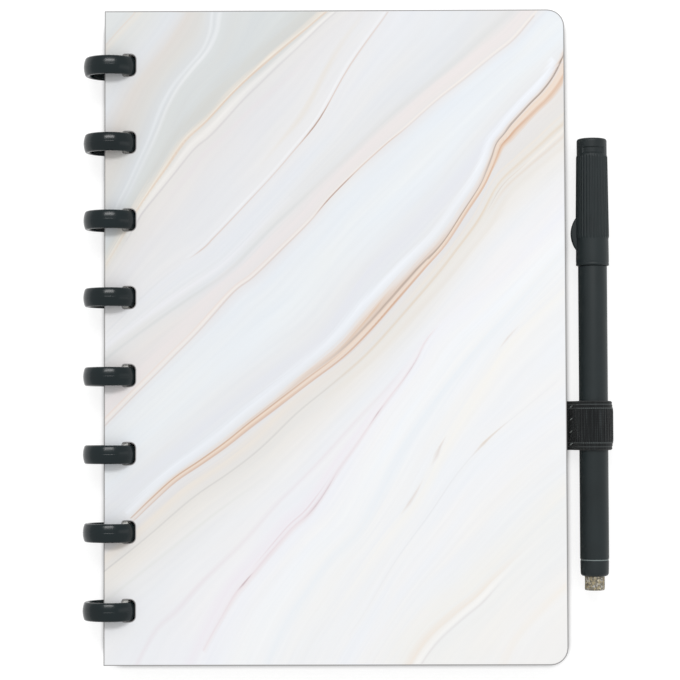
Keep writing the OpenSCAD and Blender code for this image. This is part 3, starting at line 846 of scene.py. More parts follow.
def filledOutline(outline, spacing):
    # an even grid of points inside an outline, joined to it by triangles
    low, high = outline.min(axis=0), outline.max(axis=0)
    x, y = np.meshgrid(np.arange(low[0] + spacing / 2, high[0], spacing),
                       np.arange(low[1] + spacing / 2, high[1], spacing))
    inner = np.stack([x.ravel(), y.ravel()], axis=1)
    inner = inner[edgeDistance(inner, outline) > 0.45 * spacing]
    everyPoint = np.concatenate([outline, inner])
    sides = [(k, (k + 1) % len(outline)) for k in range(len(outline))]
    flat, _, faces, _, _, _ = geometry.delaunay_2d_cdt([Vector(p) for p in everyPoint], sides,
                                                       [list(range(len(outline)))], 1, 1e-5)
    return np.array([tuple(p) for p in flat]), np.array([f for f in faces if len(f) == 3])


def slabSurface(flat, triangles, bottom, top):
    # two copies of a flat sheet, joined along every side that only one triangle has
    count = len(flat)
    points = np.concatenate([np.column_stack([flat, np.full(count, top)]),
                             np.column_stack([flat, np.full(count, bottom)])])
    sides = np.concatenate([triangles[:, [0, 1]], triangles[:, [1, 2]], triangles[:, [2, 0]]])
    keys = np.sort(sides, axis=1) @ np.array([count, 1])
    _, firstSeen, times = np.unique(keys, return_index=True, return_counts=True)
    rim = sides[firstSeen[times == 1]]
    walls = np.column_stack([rim[:, 1], rim[:, 0], rim[:, 0] + count, rim[:, 1] + count])
    return points, [triangles, triangles[:, ::-1] + count, walls]


# Marble print: places on a cover are (from the spine edge, from the foot), and streams run from head to foot

filmShape = {
    "thick": 0.05,
    "spacing": 1.0,
    "way": (0.68, 0.73),  # rough direction of the streams, along which their places are counted
    "routeSteps": 5,
    "shadowEdge": 0.16,  # painted shadow: the film's outermost border is painted grey over this width
    "shadowFade": 0.4,  # and the painted shadow has faded out here
}

marbleStreams = {  # level across the cover, and route
    "corner": (2, [(8, 216), (3, 208), (-6, 196)]),
    "orange": (9, [(14, 215), (9.3, 209), (5.6, 205), (1.2, 200), (-6, 191)]),
    "beige": (21, [(31, 217), (26, 208), (20.7, 200), (14.8, 192), (10, 185), (6, 177), (2.5, 169),
                   (-6, 150)]),
    "swirl": (31, [(36, 216), (34.6, 209), (34, 203.5), (31.5, 197.5), (27, 192), (22.2, 186), (18.3, 179),
                   (14.8, 170), (11, 161.5), (7, 153), (4, 147), (-3, 130)]),
    "fold": (42, [(60, 218), (50, 206), (42, 192), (31, 183), (25, 174), (16, 157), (8, 144), (-3, 126)]),
    "cream": (50, [(80, 216), (72, 210), (63.7, 203), (52.5, 193.6), (42.7, 184.7), (33, 174.5), (26, 168),
                   (19.7, 159), (14.8, 152), (10.4, 145.4), (5.6, 136.5), (1.2, 129), (-5, 119)]),
    "brown": (66, [(95, 216), (91, 209), (79, 192), (69.3, 175), (60, 163.5), (53, 155.5), (41.3, 143),
                   (35, 136.5), (31, 132.6), (18, 123), (2, 107.5), (-6, 99)]),
    "grey": (83, [(136, 216), (128, 208), (112, 193), (95, 179), (79, 164), (55, 141), (40, 126), (27, 117),
                  (14, 108), (2, 99), (-6, 92)]),
    "pink": (92, [(148, 217), (139.4, 209.8), (131.7, 201), (124.8, 195.5), (115, 187.5), (106.6, 181),
                  (96.7, 172.2), (90.3, 166.8), (82, 159.3), (72, 149.5), (65.5, 142), (56.8, 133.4),
                  (47.5, 124.5), (41, 119.5), (30, 107.4), (21, 98.5), (10.5, 88), (0.6, 78), (-6, 71)]),
    "blue": (114, [(158, 200), (147, 192), (130, 175), (108, 148), (85, 125), (69, 104), (45, 86), (14, 61),
                   (-6, 45)]),
    "copper": (129, [(153, 205), (147.7, 192.6), (144.7, 187), (141.2, 182.5), (137.7, 179), (131.7, 172.5),
                     (129.3, 169.4), (126.8, 166.4), (125.2, 162), (123.6, 158), (121.1, 152.7),
                     (115.8, 144.6), (109.3, 134.6), (102.5, 126.8), (93, 115.5), (85, 106.5), (76.8, 98.5),
                     (65.5, 90), (55, 82), (47, 76), (39.4, 70), (31.4, 64.4), (23, 58.8), (14.8, 51.4),
                     (8, 45), (-4, 35)]),
    "gold": (141, [(156, 180), (146, 171.5), (140, 166), (133.7, 160.5), (126.5, 153.5), (120.4, 142.5),
                   (113, 132.5), (106.6, 124.4), (95.8, 112), (84, 99), (72, 88.7), (61.7, 80.3),
                   (50.5, 69.5), (40.7, 61.8), (28, 53), (13.4, 40.6), (0.6, 30.3), (-6, 25)]),
    "thread": (150, [(156, 167), (148, 160), (133, 147), (122, 136), (113, 124), (104, 112), (93, 100),
                     (80, 87), (66, 73.5), (50, 59), (35.8, 48.5), (17.3, 33.8), (3.6, 23), (-5, 16)]),
    "lilac": (158, [(156, 160), (148, 152), (127, 131), (108, 110), (92.5, 90.5), (80, 77), (67, 62.8),
                    (55, 51), (45.6, 40.6), (33, 28), (23.6, 18), (17, 12), (12.4, 4), (8, -5)]),
    "rose": (164, [(156, 152), (148, 144), (127, 124), (106, 107), (99.7, 97), (95, 90), (88.4, 81.3),
                   (82, 72), (75.3, 62.8), (69, 53.4), (64.7, 48), (59.8, 43.6), (53.4, 36.2), (45, 26.4),
                   (41, 21.4), (34, 9), (27, -5)]),
    "pale": (184, [(156, 140), (148, 132), (130, 112), (117, 97.5), (102, 78), (94, 65), (82.5, 44),
                   (72, 33), (60, 16), (50, -4)]),
    "wisp": (195, [(156, 129), (148, 122), (129.5, 104.5), (118, 87), (107.5, 69.5), (98.5, 53), (86.5, 37),
                   (76, 22), (66, 8), (60, -4)]),
    "tan": (206, [(158, 102), (148, 93), (135, 82), (123, 72), (113, 61), (104, 48), (93, 33), (84, 18),
                  (76, 6), (70, -4)]),
    "sand": (240, [(156, 56), (145, 47), (132, 35), (124, 27.5), (118.5, 22), (112, 17), (104.5, 10.5),
                   (99, 3.5), (95, -4)]),
    "edge": (256, [(156, 30), (145, 20), (134, 8), (128, -4)]),
}

marbleGround = [  # level and colour
    (0, (220, 224, 225)), (7, (219, 221, 220)), (13, (220, 222, 222)), (17, (223, 225, 227)),
    (21, (220, 215, 210)), (26, (217, 216, 213)), (30, (217, 220, 222)), (36, (214, 217, 217)),
    (44, (215, 218, 217)), (49, (210, 211, 208)), (52, (229, 227, 225)), (56, (229, 228, 229)),
    (61, (231, 231, 232)), (67, (232, 233, 236)), (74, (231, 233, 236)), (82, (228, 229, 230)),
    (87, (231, 228, 227)), (91, (232, 228, 227)), (95, (233, 237, 241)), (104, (236, 240, 243)),
    (112, (232, 234, 237)), (125, (231, 233, 236)), (134, (230, 227, 225)), (141, (233, 230, 225)),
    (147, (237, 235, 232)), (154, (239, 240, 242)), (164, (243, 243, 246)), (176, (245, 247, 249)),
    (194, (243, 244, 245)), (215, (244, 245, 247)), (238, (243, 243, 241)), (262, (246, 245, 244)),
]

# each vein has a stream, its run as (way along, distance beside the stream, half width, strength), and its
# colours as (place across from -1 to 1, colour, cover), which fade out at both sides
marbleVeins = {
    "orangeGlow": ("orange", [(130, 1.1, 1.3, 0.5), (170, 1.1, 1.4, 0.5)], [(0, (232, 224, 213), 1)]),
    "orangeLine": ("orange", [(130, 0, 0.4, 0.5), (170, 0, 0.4, 0.5)], [(0, (222, 203, 186), 1)]),
    "swirlShade": ("swirl", [(105, 3.0, 1.6, 0.6), (150, 3.6, 2.2, 0.8), (178, 3.4, 1.6, 0.7)],
        [(0, (213, 217, 217), 1)]),
    "swirlFirst": ("swirl", [(105, 0, 0.8, 0.4), (130, 0, 0.8, 0.7), (180, 0, 0.8, 0.7)],
        [(0, (231, 234, 237), 1)]),
    "swirlSecond": ("swirl", [(105, 1.4, 0.9, 0.1), (135, 1.7, 1.1, 0.6), (165, 1.6, 1.0, 0.8),
        (180, 2.4, 1.4, 0.8)], [(0, (234, 236, 238), 1)]),
    "foldShade": ("cream", [(95, -1.8, 1.2, 0.4), (125, -2.6, 2.0, 0.7), (150, -3.6, 3.2, 0.8),
        (165, -4.2, 4.0, 0.6), (185, -3.2, 2.6, 0.7), (206, -2.6, 2.2, 0.6)], [(0, (206, 206, 202), 1)]),
    "creamGlow": ("cream", [(90, -0.5, 1.7, 0.5), (118, -0.6, 1.9, 0.7), (135, -0.7, 1.5, 0.7),
        (150, -0.7, 1.1, 0.8), (175, -0.8, 1.3, 0.8), (210, -0.9, 1.6, 0.7)],
        [(-0.4, (235, 225, 213), 0.7), (0.2, (246, 235, 220), 1)]),
    "creamLine": ("cream", [(90, 0, 0.35, 0.1), (120, 0, 0.4, 0.45), (135, 0, 0.6, 0.7),
        (160, 0, 0.5, 0.75), (210, 0, 0.5, 0.55)], [(0, (216, 184, 157), 1)]),
    "creamSide": ("cream", [(105, 1.0, 0.8, 0.5), (145, 2.4, 1.6, 0.8), (175, 2.2, 1.4, 0.8),
        (206, 1.3, 0.9, 0.8)], [(0, (241, 239, 236), 1)]),
    "creamThread": ("cream", [(104, 1.6, 0.35, 0.3), (113, 1.9, 0.45, 0.8), (124, 2.8, 0.5, 0.7),
        (145, 4.3, 0.5, 0.7), (170, 3.8, 0.5, 0.6), (196, 2.3, 0.5, 0.6), (207, 1.9, 0.4, 0.5)],
        [(0, (201, 197, 200), 1)]),
    "lilacThread": ("cream", [(116, 5.5, 1.2, 0), (135, 7.2, 1.5, 0.6), (172, 8.2, 1.5, 0.6),
        (192, 8.2, 1.2, 0)], [(0, (226, 220, 223), 1)]),
    "beigeWisp": ("brown", [(150, -5.0, 0.8, 0), (170, -5.3, 1.2, 0.8), (190, -6, 1.3, 0.7),
        (214, -6.4, 1.3, 0)], [(0, (227, 220, 210), 1)]),
    "brownLine": ("brown", [(113, 0, 0.25, 0), (118, 0, 0.4, 0.8), (135, 0, 0.35, 0.65),
        (160, 0, 0.35, 0.6), (172, 0, 0.45, 0.9), (182, 0, 0.4, 0.7), (218, 0, 0.4, 0.5)],
        [(0, (206, 179, 163), 1)]),
    "brownCore": ("brown", [(164, 0, 0.2, 0), (171, 0, 0.35, 1), (176, 0, 0.35, 0.9), (182, 0, 0.2, 0)],
        [(0, (165, 135, 121), 1)]),
    "brownWhite": ("brown", [(113, -0.9, 0.6, 0.3), (135, -0.9, 0.6, 0.7), (215, -0.9, 0.7, 0.5)],
        [(0, (243, 244, 246), 1)]),
    "brownTail": ("brown", [(50, 0, 0.6, 0.5), (100, 0, 0.6, 0.7), (113, 0, 0.4, 0)],
        [(0, (222, 223, 226), 1)]),
    "greyBand": ("grey", [(60, 0, 0.8, 0.8), (110, 0, 0.8, 0.9), (140, 0, 0.9, 0.8), (160, 0.5, 1.3, 0.6),
        (250, 0.8, 2.2, 0.6)], [(0, (214, 216, 216), 1)]),
    "greyLight": ("grey", [(60, -3.4, 1.6, 0.7), (120, -3, 1.6, 0.7), (150, -3, 1.5, 0.2)],
        [(0, (238, 238, 243), 1)]),
    "pinkBlush": ("pink", [(50, -3, 3.0, 0.7), (110, -4, 3.5, 0.7), (150, -3, 2.5, 0.8),
        (200, -3, 2.5, 0.8), (250, -2.5, 2.4, 0.8)], [(0, (234, 227, 227), 1)]),
    "pinkCream": ("pink", [(50, -0.1, 0.7, 0.7), (150, 0, 0.6, 0.7), (250, 0, 0.5, 0.6)],
        [(0, (245, 236, 227), 1)]),
    "pinkLine": ("pink", [(50, 0.8, 0.4, 0.5), (80, 0.9, 0.4, 0.5), (110, 0.7, 0.4, 0.55),
        (135, 0.6, 0.4, 0.6), (150, 0.5, 0.4, 0.6), (157, 0.4, 0.4, 1), (172, 0.3, 0.4, 0.8),
        (184, 0.3, 0.35, 0.9), (192, 0.5, 0.4, 0.3), (224, 0.5, 0.4, 0.3), (246, 0.5, 0.4, 0.6)],
        [(0, (206, 182, 168), 1)]),
    "pinkEdge": ("pink", [(50, -0.8, 0.4, 0.5), (110, -0.7, 0.4, 0.45), (140, -0.6, 0.3, 0.3),
        (156, -0.6, 0.3, 0)], [(0, (236, 212, 197), 1)]),
    "pinkCore": ("pink", [(151, 0.4, 0.2, 0), (157, 0.4, 0.35, 1), (166, 0.3, 0.3, 0.8),
        (170, 0.3, 0.2, 0)], [(0, (166, 132, 118), 1)]),
    "blueShade": ("blue", [(40, 0, 2.5, 0.5), (100, 0, 3.4, 0.8), (190, 0, 3.2, 0.9), (245, 0, 2.2, 0.7)],
        [(0, (226, 228, 235), 1)]),
    "blueLight": ("copper", [(40, -3, 1.6, 0.6), (90, -5, 1.8, 0.6), (140, -7.5, 2.2, 0.8),
        (170, -5, 1.8, 0.8), (200, -3.4, 1.6, 0.9), (240, -3.4, 1.6, 0.9)], [(0, (241, 245, 251), 1)]),
    "copperHaze": ("copper", [(40, -1.2, 0.8, 0), (60, -1.4, 1.0, 0.5), (100, -2.0, 1.4, 0.7),
        (118, -2.6, 2.2, 0.9), (135, -3.0, 2.9, 1), (150, -2.8, 2.7, 1), (163, -2.1, 2.0, 0.8),
        (180, -1.0, 1.3, 0.7), (205, -1.1, 1.0, 0.7), (225, -1.3, 0.9, 0.6), (245, -1.4, 0.9, 0.6)],
        [(-0.6, (232, 216, 203), 0.6), (0, (219, 194, 173), 1), (0.5, (221, 198, 181), 1)]),
    "copperFill": ("copper", [(40, -0.6, 0.8, 0.4), (60, -0.6, 0.9, 0.9), (100, -0.7, 1.0, 1),
        (125, -0.8, 1.2, 0.8), (145, -0.6, 1.1, 0.8), (170, -0.2, 1.0, 0.9), (190, 0, 0.9, 0.9),
        (200, 0.2, 1.0, 1), (206, 0.5, 1.5, 1), (217, 1.2, 2.1, 1), (230, 1.2, 2.3, 1), (250, 1.0, 2.3, 1)],
        [(-0.6, (234, 214, 197), 1), (0, (236, 216, 198), 1), (0.6, (226, 198, 175), 1)]),
    "copperDark": ("copper", [(112, -2.0, 0.3, 0), (126, -2.1, 0.5, 0.5), (145, -1.9, 0.6, 0.7),
        (160, -1.4, 0.5, 0.8), (168, -0.9, 0.4, 0.8), (180, -0.7, 0.3, 0.5), (190, -0.7, 0.3, 0.2)],
        [(0, (150, 130, 116), 1)]),
    "copperLow": ("copper", [(40, 0.2, 0.3, 0.5), (60, 0.2, 0.4, 0.8), (110, 0.2, 0.4, 0.8),
        (128, 0.1, 0.6, 0.9), (148, 0.1, 0.7, 0.9), (165, 0.4, 0.45, 0.7), (190, 0.5, 0.4, 0.6),
        (203, 0.6, 0.5, 0.7), (209, 0.9, 0.7, 1), (220, 1.5, 0.8, 0.9), (228, 1.8, 0.8, 0.6),
        (250, 2.0, 0.8, 0.3)], [(0, (203, 156, 121), 1)]),
    "copperHigh": ("copper", [(40, -1.0, 0.3, 0.6), (60, -1.0, 0.35, 0.9), (100, -1.4, 0.35, 0.9),
        (118, -1.4, 0.3, 0.5), (126, -1.4, 0.25, 0)], [(0, (190, 150, 120), 1)]),
    "copperTop": ("copper", [(165, -0.7, 0.3, 0.5), (185, -0.6, 0.3, 0.7), (203, -0.8, 0.35, 0.6),
        (215, -1.0, 0.4, 1), (236, -1.0, 0.4, 1), (250, -1.0, 0.4, 0.8)], [(0, (128, 108, 94), 1)]),
    "goldPeach": ("gold", [(10, -3, 2.2, 0.6), (60, -3.4, 1.8, 0.7), (100, -3.6, 1.9, 0.7),
        (125, -2.8, 1.4, 0.4), (140, -2, 1, 0)], [(0, (236, 228, 217), 1)]),
    "goldLine": ("gold", [(108, 0, 0.4, 0), (122, 0, 0.6, 0.6), (150, 0, 0.7, 0.8), (180, 0, 0.6, 0.8),
        (198, 0, 0.6, 0.6), (212, 0, 1.0, 0.5), (250, 0, 1.4, 0.6)], [(0, (222, 203, 180), 1)]),
    "goldSecond": ("gold", [(186, 1.5, 0.5, 0), (200, 2.6, 0.8, 0.5), (225, 3, 0.8, 0.5),
        (250, 3.2, 0.9, 0.5)], [(0, (223, 206, 190), 1)]),
    "goldFine": ("gold", [(150, -1.4, 0.4, 0.3), (200, -2.2, 0.5, 0.6), (250, -2.8, 0.6, 0.6)],
        [(0, (238, 226, 212), 1)]),
    "goldBrown": ("gold", [(188, 1.0, 0.3, 0), (196, 1.2, 0.35, 0.6), (206, 1.4, 0.35, 0.5),
        (214, 1.4, 0.3, 0)], [(0, (196, 180, 168), 1)]),
    "goldPale": ("gold", [(195, 1.3, 0.4, 0), (212, 1.6, 0.6, 0.7), (250, 1.6, 0.7, 0.7)],
        [(0, (245, 238, 229), 1)]),
    "goldShade": ("gold", [(110, 2.0, 1.0, 0.3), (150, 3, 1.4, 0.6), (190, 4.2, 1.6, 0.6),
        (230, 5.5, 1.6, 0.3)], [(0, (229, 223, 215), 1)]),
    "goldThread": ("gold", [(10, 0, 0.4, 0.8), (90, 0, 0.45, 0.9), (112, 0, 0.4, 0.8), (124, 0, 0.3, 0)],
        [(0, (206, 204, 202), 1)]),
    "thread": ("thread", [(5, 0, 0.7, 0.7), (60, 0, 0.7, 0.8), (78, 0, 0.7, 0.2)],
        [(0, (227, 228, 225), 1)]),
    "lilacLine": ("lilac", [(0, 0, 1.4, 0.4), (28, 0, 1.5, 0.6), (45, 0, 1.2, 0.5), (90, 0, 1.1, 0.45),
        (128, 0, 0.8, 0.4), (137, 0, 0.5, 0)], [(0, (228, 218, 224), 1)]),
    "lilacBlush": ("rose", [(5, -2, 2.5, 0.5), (40, -2.5, 3.0, 0.8), (75, -2.5, 2.5, 0.8),
        (120, -1.5, 1.5, 0.6), (150, -1, 1, 0)], [(0, (238, 232, 239), 1)]),
    "roseLine": ("rose", [(25, 0, 1.4, 0.4), (45, 0, 1.6, 0.6), (62, 0, 1.7, 0.65), (80, 0, 1.7, 0.7),
        (92, 0, 1.4, 0.55), (108, 0, 1.0, 0.5), (125, 0, 0.8, 0.55), (146, 0, 0.7, 0.6), (152, 0, 0.5, 0)],
        [(-0.5, (238, 229, 233), 0.6), (0.1, (226, 206, 211), 1), (0.5, (233, 219, 220), 0.8)]),
    "roseSecond": ("rose", [(55, -1.1, 0.3, 0), (66, -1.2, 0.4, 0.5), (84, -1.1, 0.4, 0.5),
        (95, -0.8, 0.3, 0)], [(0, (216, 192, 198), 1)]),
    "roseCore": ("rose", [(46, 0, 0.2, 0), (49, 0, 0.45, 0.9), (52, 0, 0.3, 0.8), (54, 0, 0.2, 0),
        (76, 0.5, 0.2, 0), (83, 0.5, 0.35, 0.7), (90, 0.4, 0.3, 0.6), (95, 0.2, 0.2, 0), (113, 0, 0.2, 0),
        (118, 0, 0.35, 0.6), (122, 0, 0.2, 0), (128, 0.2, 0.2, 0), (136, 0.2, 0.3, 0.5),
        (142, 0.1, 0.2, 0)], [(0, (184, 160, 164), 1)]),
    "paleBand": ("pale", [(30, 0, 2.0, 0.5), (110, 0, 2.6, 0.9), (160, 0, 2.4, 0.8), (220, 0, 2.4, 0.4)],
        [(0, (233, 238, 243), 1)]),
    "wispCream": ("wisp", [(60, 1.5, 2.0, 0.2), (105, 1.5, 2.6, 0.8), (150, 2, 3.0, 0.9),
        (200, 2, 2.6, 0.5)], [(0, (245, 243, 238), 1)]),
    "wispDarts": ("wisp", [(99, 0, 0.3, 0), (104, 0, 0.8, 0.5), (108, 0, 0.6, 0.5), (113, 0, 0.3, 0),
        (117, 0.3, 0.3, 0), (121, 0.3, 1.0, 0.5), (124, 0, 0.5, 0.6), (128, 0, 0.2, 0), (159, 0, 0.3, 0),
        (164, 0, 0.5, 0.5), (170, 0, 0.3, 0)], [(0, (208, 190, 181), 1)]),
    "tanDarts": ("tan", [(128, 0, 0.3, 0), (134, 0, 0.7, 0.9), (140, 0, 0.4, 0.6), (145, 0, 0.3, 0)],
        [(0, (220, 200, 178), 1)]),
    "tanThread": ("tan", [(60, 0, 0.4, 0.2), (112, 0, 0.4, 0.6), (127, 0, 0.4, 0.5), (165, 0, 0.4, 0.2)],
        [(0, (224, 225, 228), 1)]),
    "sandGlow": ("sand", [(40, 0, 2.3, 0.8), (75, 0, 2.1, 0.8), (100, 0, 1.6, 0.7), (120, 0, 1.2, 0)],
        [(0.2, (240, 228, 215), 1)]),
    "sandWhite": ("sand", [(40, 2.4, 1.2, 0.8), (75, 2.2, 1.2, 0.9), (100, 1.8, 1.1, 0.9),
        (112, 1.6, 0.8, 0)], [(0, (250, 248, 245), 1)]),
    "sandThread": ("sand", [(40, 3.8, 0.5, 0.4), (75, 3.5, 0.6, 0.5), (98, 3.0, 0.7, 0.5),
        (108, 2.6, 0.4, 0)], [(0, (217, 210, 210), 1)]),
    "edgeBlush": ("edge", [(60, -3, 2.0, 0.4), (110, -2, 2.4, 0.6), (140, -1, 2.0, 0.5)],
        [(0, (244, 238, 230), 1)]),
}


def sideOf(points, route):
    # distance to the nearest side of a route, above 0 on the side of the foot and the fore edge
    nearest = np.full(len(points), np.inf)
    side = np.zeros(len(points))
    for start, end in zip(route[:-1], route[1:]):
        along, away = end - start, points - start
        t = np.clip(away @ along / (along @ along), 0, 1)
        gap = np.hypot(*(away - t[:, None] * along).T)
        closer = gap < nearest
        nearest = np.where(closer, gap, nearest)
        side = np.where(closer, along[0] * away[:, 1] - along[1] * away[:, 0], side)
    return np.sign(side) * nearest


def marblePlaces(places):
    # between two streams the level grows with the share of the distance to the first; a vein lies beside one
    beside = {name: sideOf(places, smoothRoute(route, filmShape["routeSteps"]))
              for name, (_, route) in marbleStreams.items()}
    levels = np.array([float(level) for level, _ in marbleStreams.values()])
    distances = np.array(list(beside.values()))
    passed = np.clip(np.sum(distances > 0, axis=0) - 1, 0, len(levels) - 2)
    pick = np.arange(len(places))
    first, second = np.abs(distances[passed, pick]), np.abs(distances[passed + 1, pick])
    share = first / np.maximum(first + second, 1e-6)
    level = levels[passed] + share * (levels[passed + 1] - levels[passed])
    way = places @ np.array(filmShape["way"])
    stored = {"stream": np.stack([level, way, np.zeros(len(places))], axis=1)}
    for name, (stream, run, _) in marbleVeins.items():
        ways, offsets, halves, strengths = np.array(run, float).T
        across = (beside[stream] - np.interp(way, ways, offsets)) / np.interp(way, ways, halves)
        strength = np.interp(way, ways, strengths, left=0, right=0)
        stored[name] = np.stack([across, strength, np.zeros(len(places))], axis=1)
    return stored


def marbleFinish():
    # ground colours by level, streaks drawn out along the streams, then every vein over them, and a painted
    # shadow line round the edge
    material, tree, shader = startMaterial("marblePrint", {"Roughness": 0.36})
    stream = storedPlace(tree, "stream")
    top = marbleGround[-1][0]
    soft = noiseAt(tree, scaled(tree, stream, (0.13, 0.02, 0)), 1.0, 2.0)
    fine = noiseAt(tree, scaled(tree, stream, (0.75, 0.03, 0)), 1.0, 3.0)
    level = maths(tree, "ADD", partsOf(tree, stream)[0], spread(tree, soft, 0, 1, -2.5, 2.5))
    shades = [(place / top, linear(*rgb)) for place, rgb in marbleGround]
    colour = rampOf(tree, spread(tree, level, 0, top, 0, 1), shades)[0]
    tint = spread(tree, soft, 0.35, 0.65, 0, 1)
    tint = mixColours(tree, tint, (0.975, 0.985, 1.0, 1), (1.0, 0.99, 0.976, 1))
    colour = mixColours(tree, 1.0, colour, tint, "MULTIPLY")
    streaks = spread(tree, fine, 0.3, 0.7, 0, 1)
    streaks = mixColours(tree, streaks, (0.968, 0.97, 0.976, 1), (1.0, 1.0, 1.0, 1))
    colour = mixColours(tree, 1.0, colour, streaks, "MULTIPLY")
    broken = spread(tree, fine, 0.3, 0.65, 0.6, 1.0)
    shift = spread(tree, fine, 0.3, 0.7, -0.25, 0.25)
    for name, (_, _, across) in marbleVeins.items():
        place, strength, _ = partsOf(tree, storedPlace(tree, name))
        stops = [(0.5 + 0.45 * at, (*linear(*rgb)[:3], cover)) for at, rgb, cover in across]
        stops = [(0.0, (*stops[0][1][:3], 0.0)), *stops, (1.0, (*stops[-1][1][:3], 0.0))]
        paint, cover = rampOf(tree, spread(tree, maths(tree, "ADD", place, shift), -1, 1, 0, 1), stops)
        cover = maths(tree, "MULTIPLY", cover, maths(tree, "MULTIPLY", strength, broken))
        colour = mixColours(tree, cover, colour, paint)
    # painted shadow: a grey line along the film's outline, darkest at the very edge
    rim = partsOf(tree, storedPlace(tree, "rim"))[0]
    cut = spread(tree, rim, filmShape["shadowEdge"], filmShape["shadowFade"], 1.0, 0.0)
    tree.links.new(mixColours(tree, cut, colour, linear(136, 134, 134)), shader.inputs["Base Color"])
    addBump(tree, shader, noiseAt(tree, objectPlace(tree), 1800.0, 2.0), 0.000004)
    return material


marblePrint = marbleFinish()
outline = coverOutline(slotShape)
flat, triangles = filledOutline(outline, filmShape["spacing"])
rim = edgeDistance(flat, outline)
coverLow, coverHigh = nodeBox("front_cover")
places = flat - coverLow[:2]
upended = np.column_stack([places[:, 0], coverHigh[1] - coverLow[1] - places[:, 1]])

# the back cover has the same print turned head to foot
underBack = nodeBox("back_cover")[0][2] - filmShape["thick"]
films = {"coverFilm": (coverHigh[2], places, "front_cover", ["cover_print"]),
         "backFilm": (underBack, upended, "back_cover", [])}
for name, (bottom, printed, body, stands) in films.items():
    points, faceSets = slabSurface(flat, triangles, bottom, bottom + filmShape["thick"])
    film = makePiece(name, points, faceSets, marblePrint, body, stands)
    stored = {**marblePlaces(printed), "rim": np.column_stack([rim, 0 * rim, 0 * rim])}
    storePlaces(film, {key: np.concatenate([values, values]) for key, values in stored.items()})
print("films made:", len(triangles))


# Sheets

sheetShape = {
    "sheets": 28,
    "share": 0.74,  # part of each sheet's height that is paper, and the rest is the gap to the next
    "gap": 0.16,
    "shuffle": 0.05,
    "arcR": 8.9,
    "holeR": 6.55,
    "neck": 3.3,
    "head": 7.0,
    "cornerRound": 5.0,
}


def sheetOutline(shape):
    # once round a sheet, as the edge that each point follows (0 spine, 1 near, 2 far, 3 fore) and its place
    low, high = nodeBox("pages")
    kinds, heights = [], []
    for k in range(len(discNames)):
        middle = (k - (len(discNames) - 1) / 2) * slotShape["pitch"]
        half, neck = shape["head"] / 2, shape["neck"] / 2
        kinds += [0, 1, 1, 2, 2, 1, 1, 0]
        heights += [middle + step for step in (-neck, -neck, -half, -half, half, half, neck, neck)]
    shifts = [0.0] * len(kinds)
    kinds += [0] + [3] * 18 + [0]
    r = shape["cornerRound"]
    upper = arcPoints((-r, high[1] - r), r, 90, 0, 9)
    lower = arcPoints((-r, low[1] + r), r, 0, -90, 9)
    shifts += [0.0, *upper[:, 0], *lower[:, 0], 0.0]
    heights += [high[1], *upper[:, 1], *lower[:, 1], low[1]]
    return np.array(kinds), np.array(shifts), np.array(heights)


def sheetStack(shape):
    # every sheet's edges follow the rims' arc: x = sqrt(r^2 - z^2) at its own height z from the discs' axis
    low, high = nodeBox("pages")
    kinds, shifts, heights = sheetOutline(shape)
    pitch = (high[2] - low[2]) / shape["sheets"]
    sheet = np.repeat(np.arange(shape["sheets"]), 4)
    step = np.tile([0, shape["share"], shape["share"], 1.0], shape["sheets"])
    inward = np.tile([0.0, 0.0, shape["gap"], shape["gap"]], shape["sheets"])
    z = low[2] + (sheet + step) * pitch
    z[-2:], inward[-2:] = high[2], 0.0
    h = z - axisZ
    arc = np.sqrt(shape["arcR"] ** 2 - h ** 2)
    spineShift = arc[0] - (low[0] - axisX) if abs(h[0]) > abs(h[-1]) else arc[-1] - (low[0] - axisX)
    foreShift = shape["arcR"] - (high[0] - axisX)
    edges = np.stack([arc - spineShift, np.sqrt(shape["holeR"] ** 2 - h ** 2), arc, arc - foreShift], axis=1)
    x = axisX + edges[:, kinds] + shifts
    y = np.broadcast_to(heights, x.shape).copy()
    slip = np.random.default_rng(7).uniform(-1, 1, (2, shape["sheets"]))[:, sheet] * shape["shuffle"]
    x = x + inward[:, None] * np.where(kinds == 0, 1, np.where(kinds == 3, -1, 0)) + slip[0][:, None]
    y = y - np.sign(y) * np.where(np.abs(y) > heights.max() - shape["cornerRound"] - 1, inward[:, None], 0)
    y = y + slip[1][:, None]
    points = np.stack([x, y, np.broadcast_to(z[:, None], x.shape)], axis=-1)
    rows, columns = x.shape
    faceSets = [gridFaces(rows, columns, columnsClose=True)]
    for row in (0, rows - 1):
        outline = points[row, :, :2]
        order = list(range(columns))
        found = geometry.delaunay_2d_cdt([Vector(p) for p in outline],
                                         [(k, (k + 1) % columns) for k in order], [order], 1, 1e-7)
        faces = np.array([f for f in found[2] if len(f) == 3])
        original = np.array([o[0] for o in found[3]])
        faces = original[faces] + row * columns
        a, b, c = (points.reshape(-1, 3)[faces[:, k], :2] for k in range(3))
        area = np.cross(b - a, c - a)
        faces = np.where(area[:, None] > 0, faces, faces[:, ::-1])
        faceSets.append(faces if row else faces[:, ::-1])
    return points.reshape(-1, 3), faceSets


ruleShape = {  # in metres, as a material reads its places
    "pitch": 0.0071,
    "thick": 0.00022,
    "left": -0.061,
    "right": 0.063,
    "foot": -0.093,
    "head": 0.081,
    "column": -0.041,
    "ink": 0.62,
}


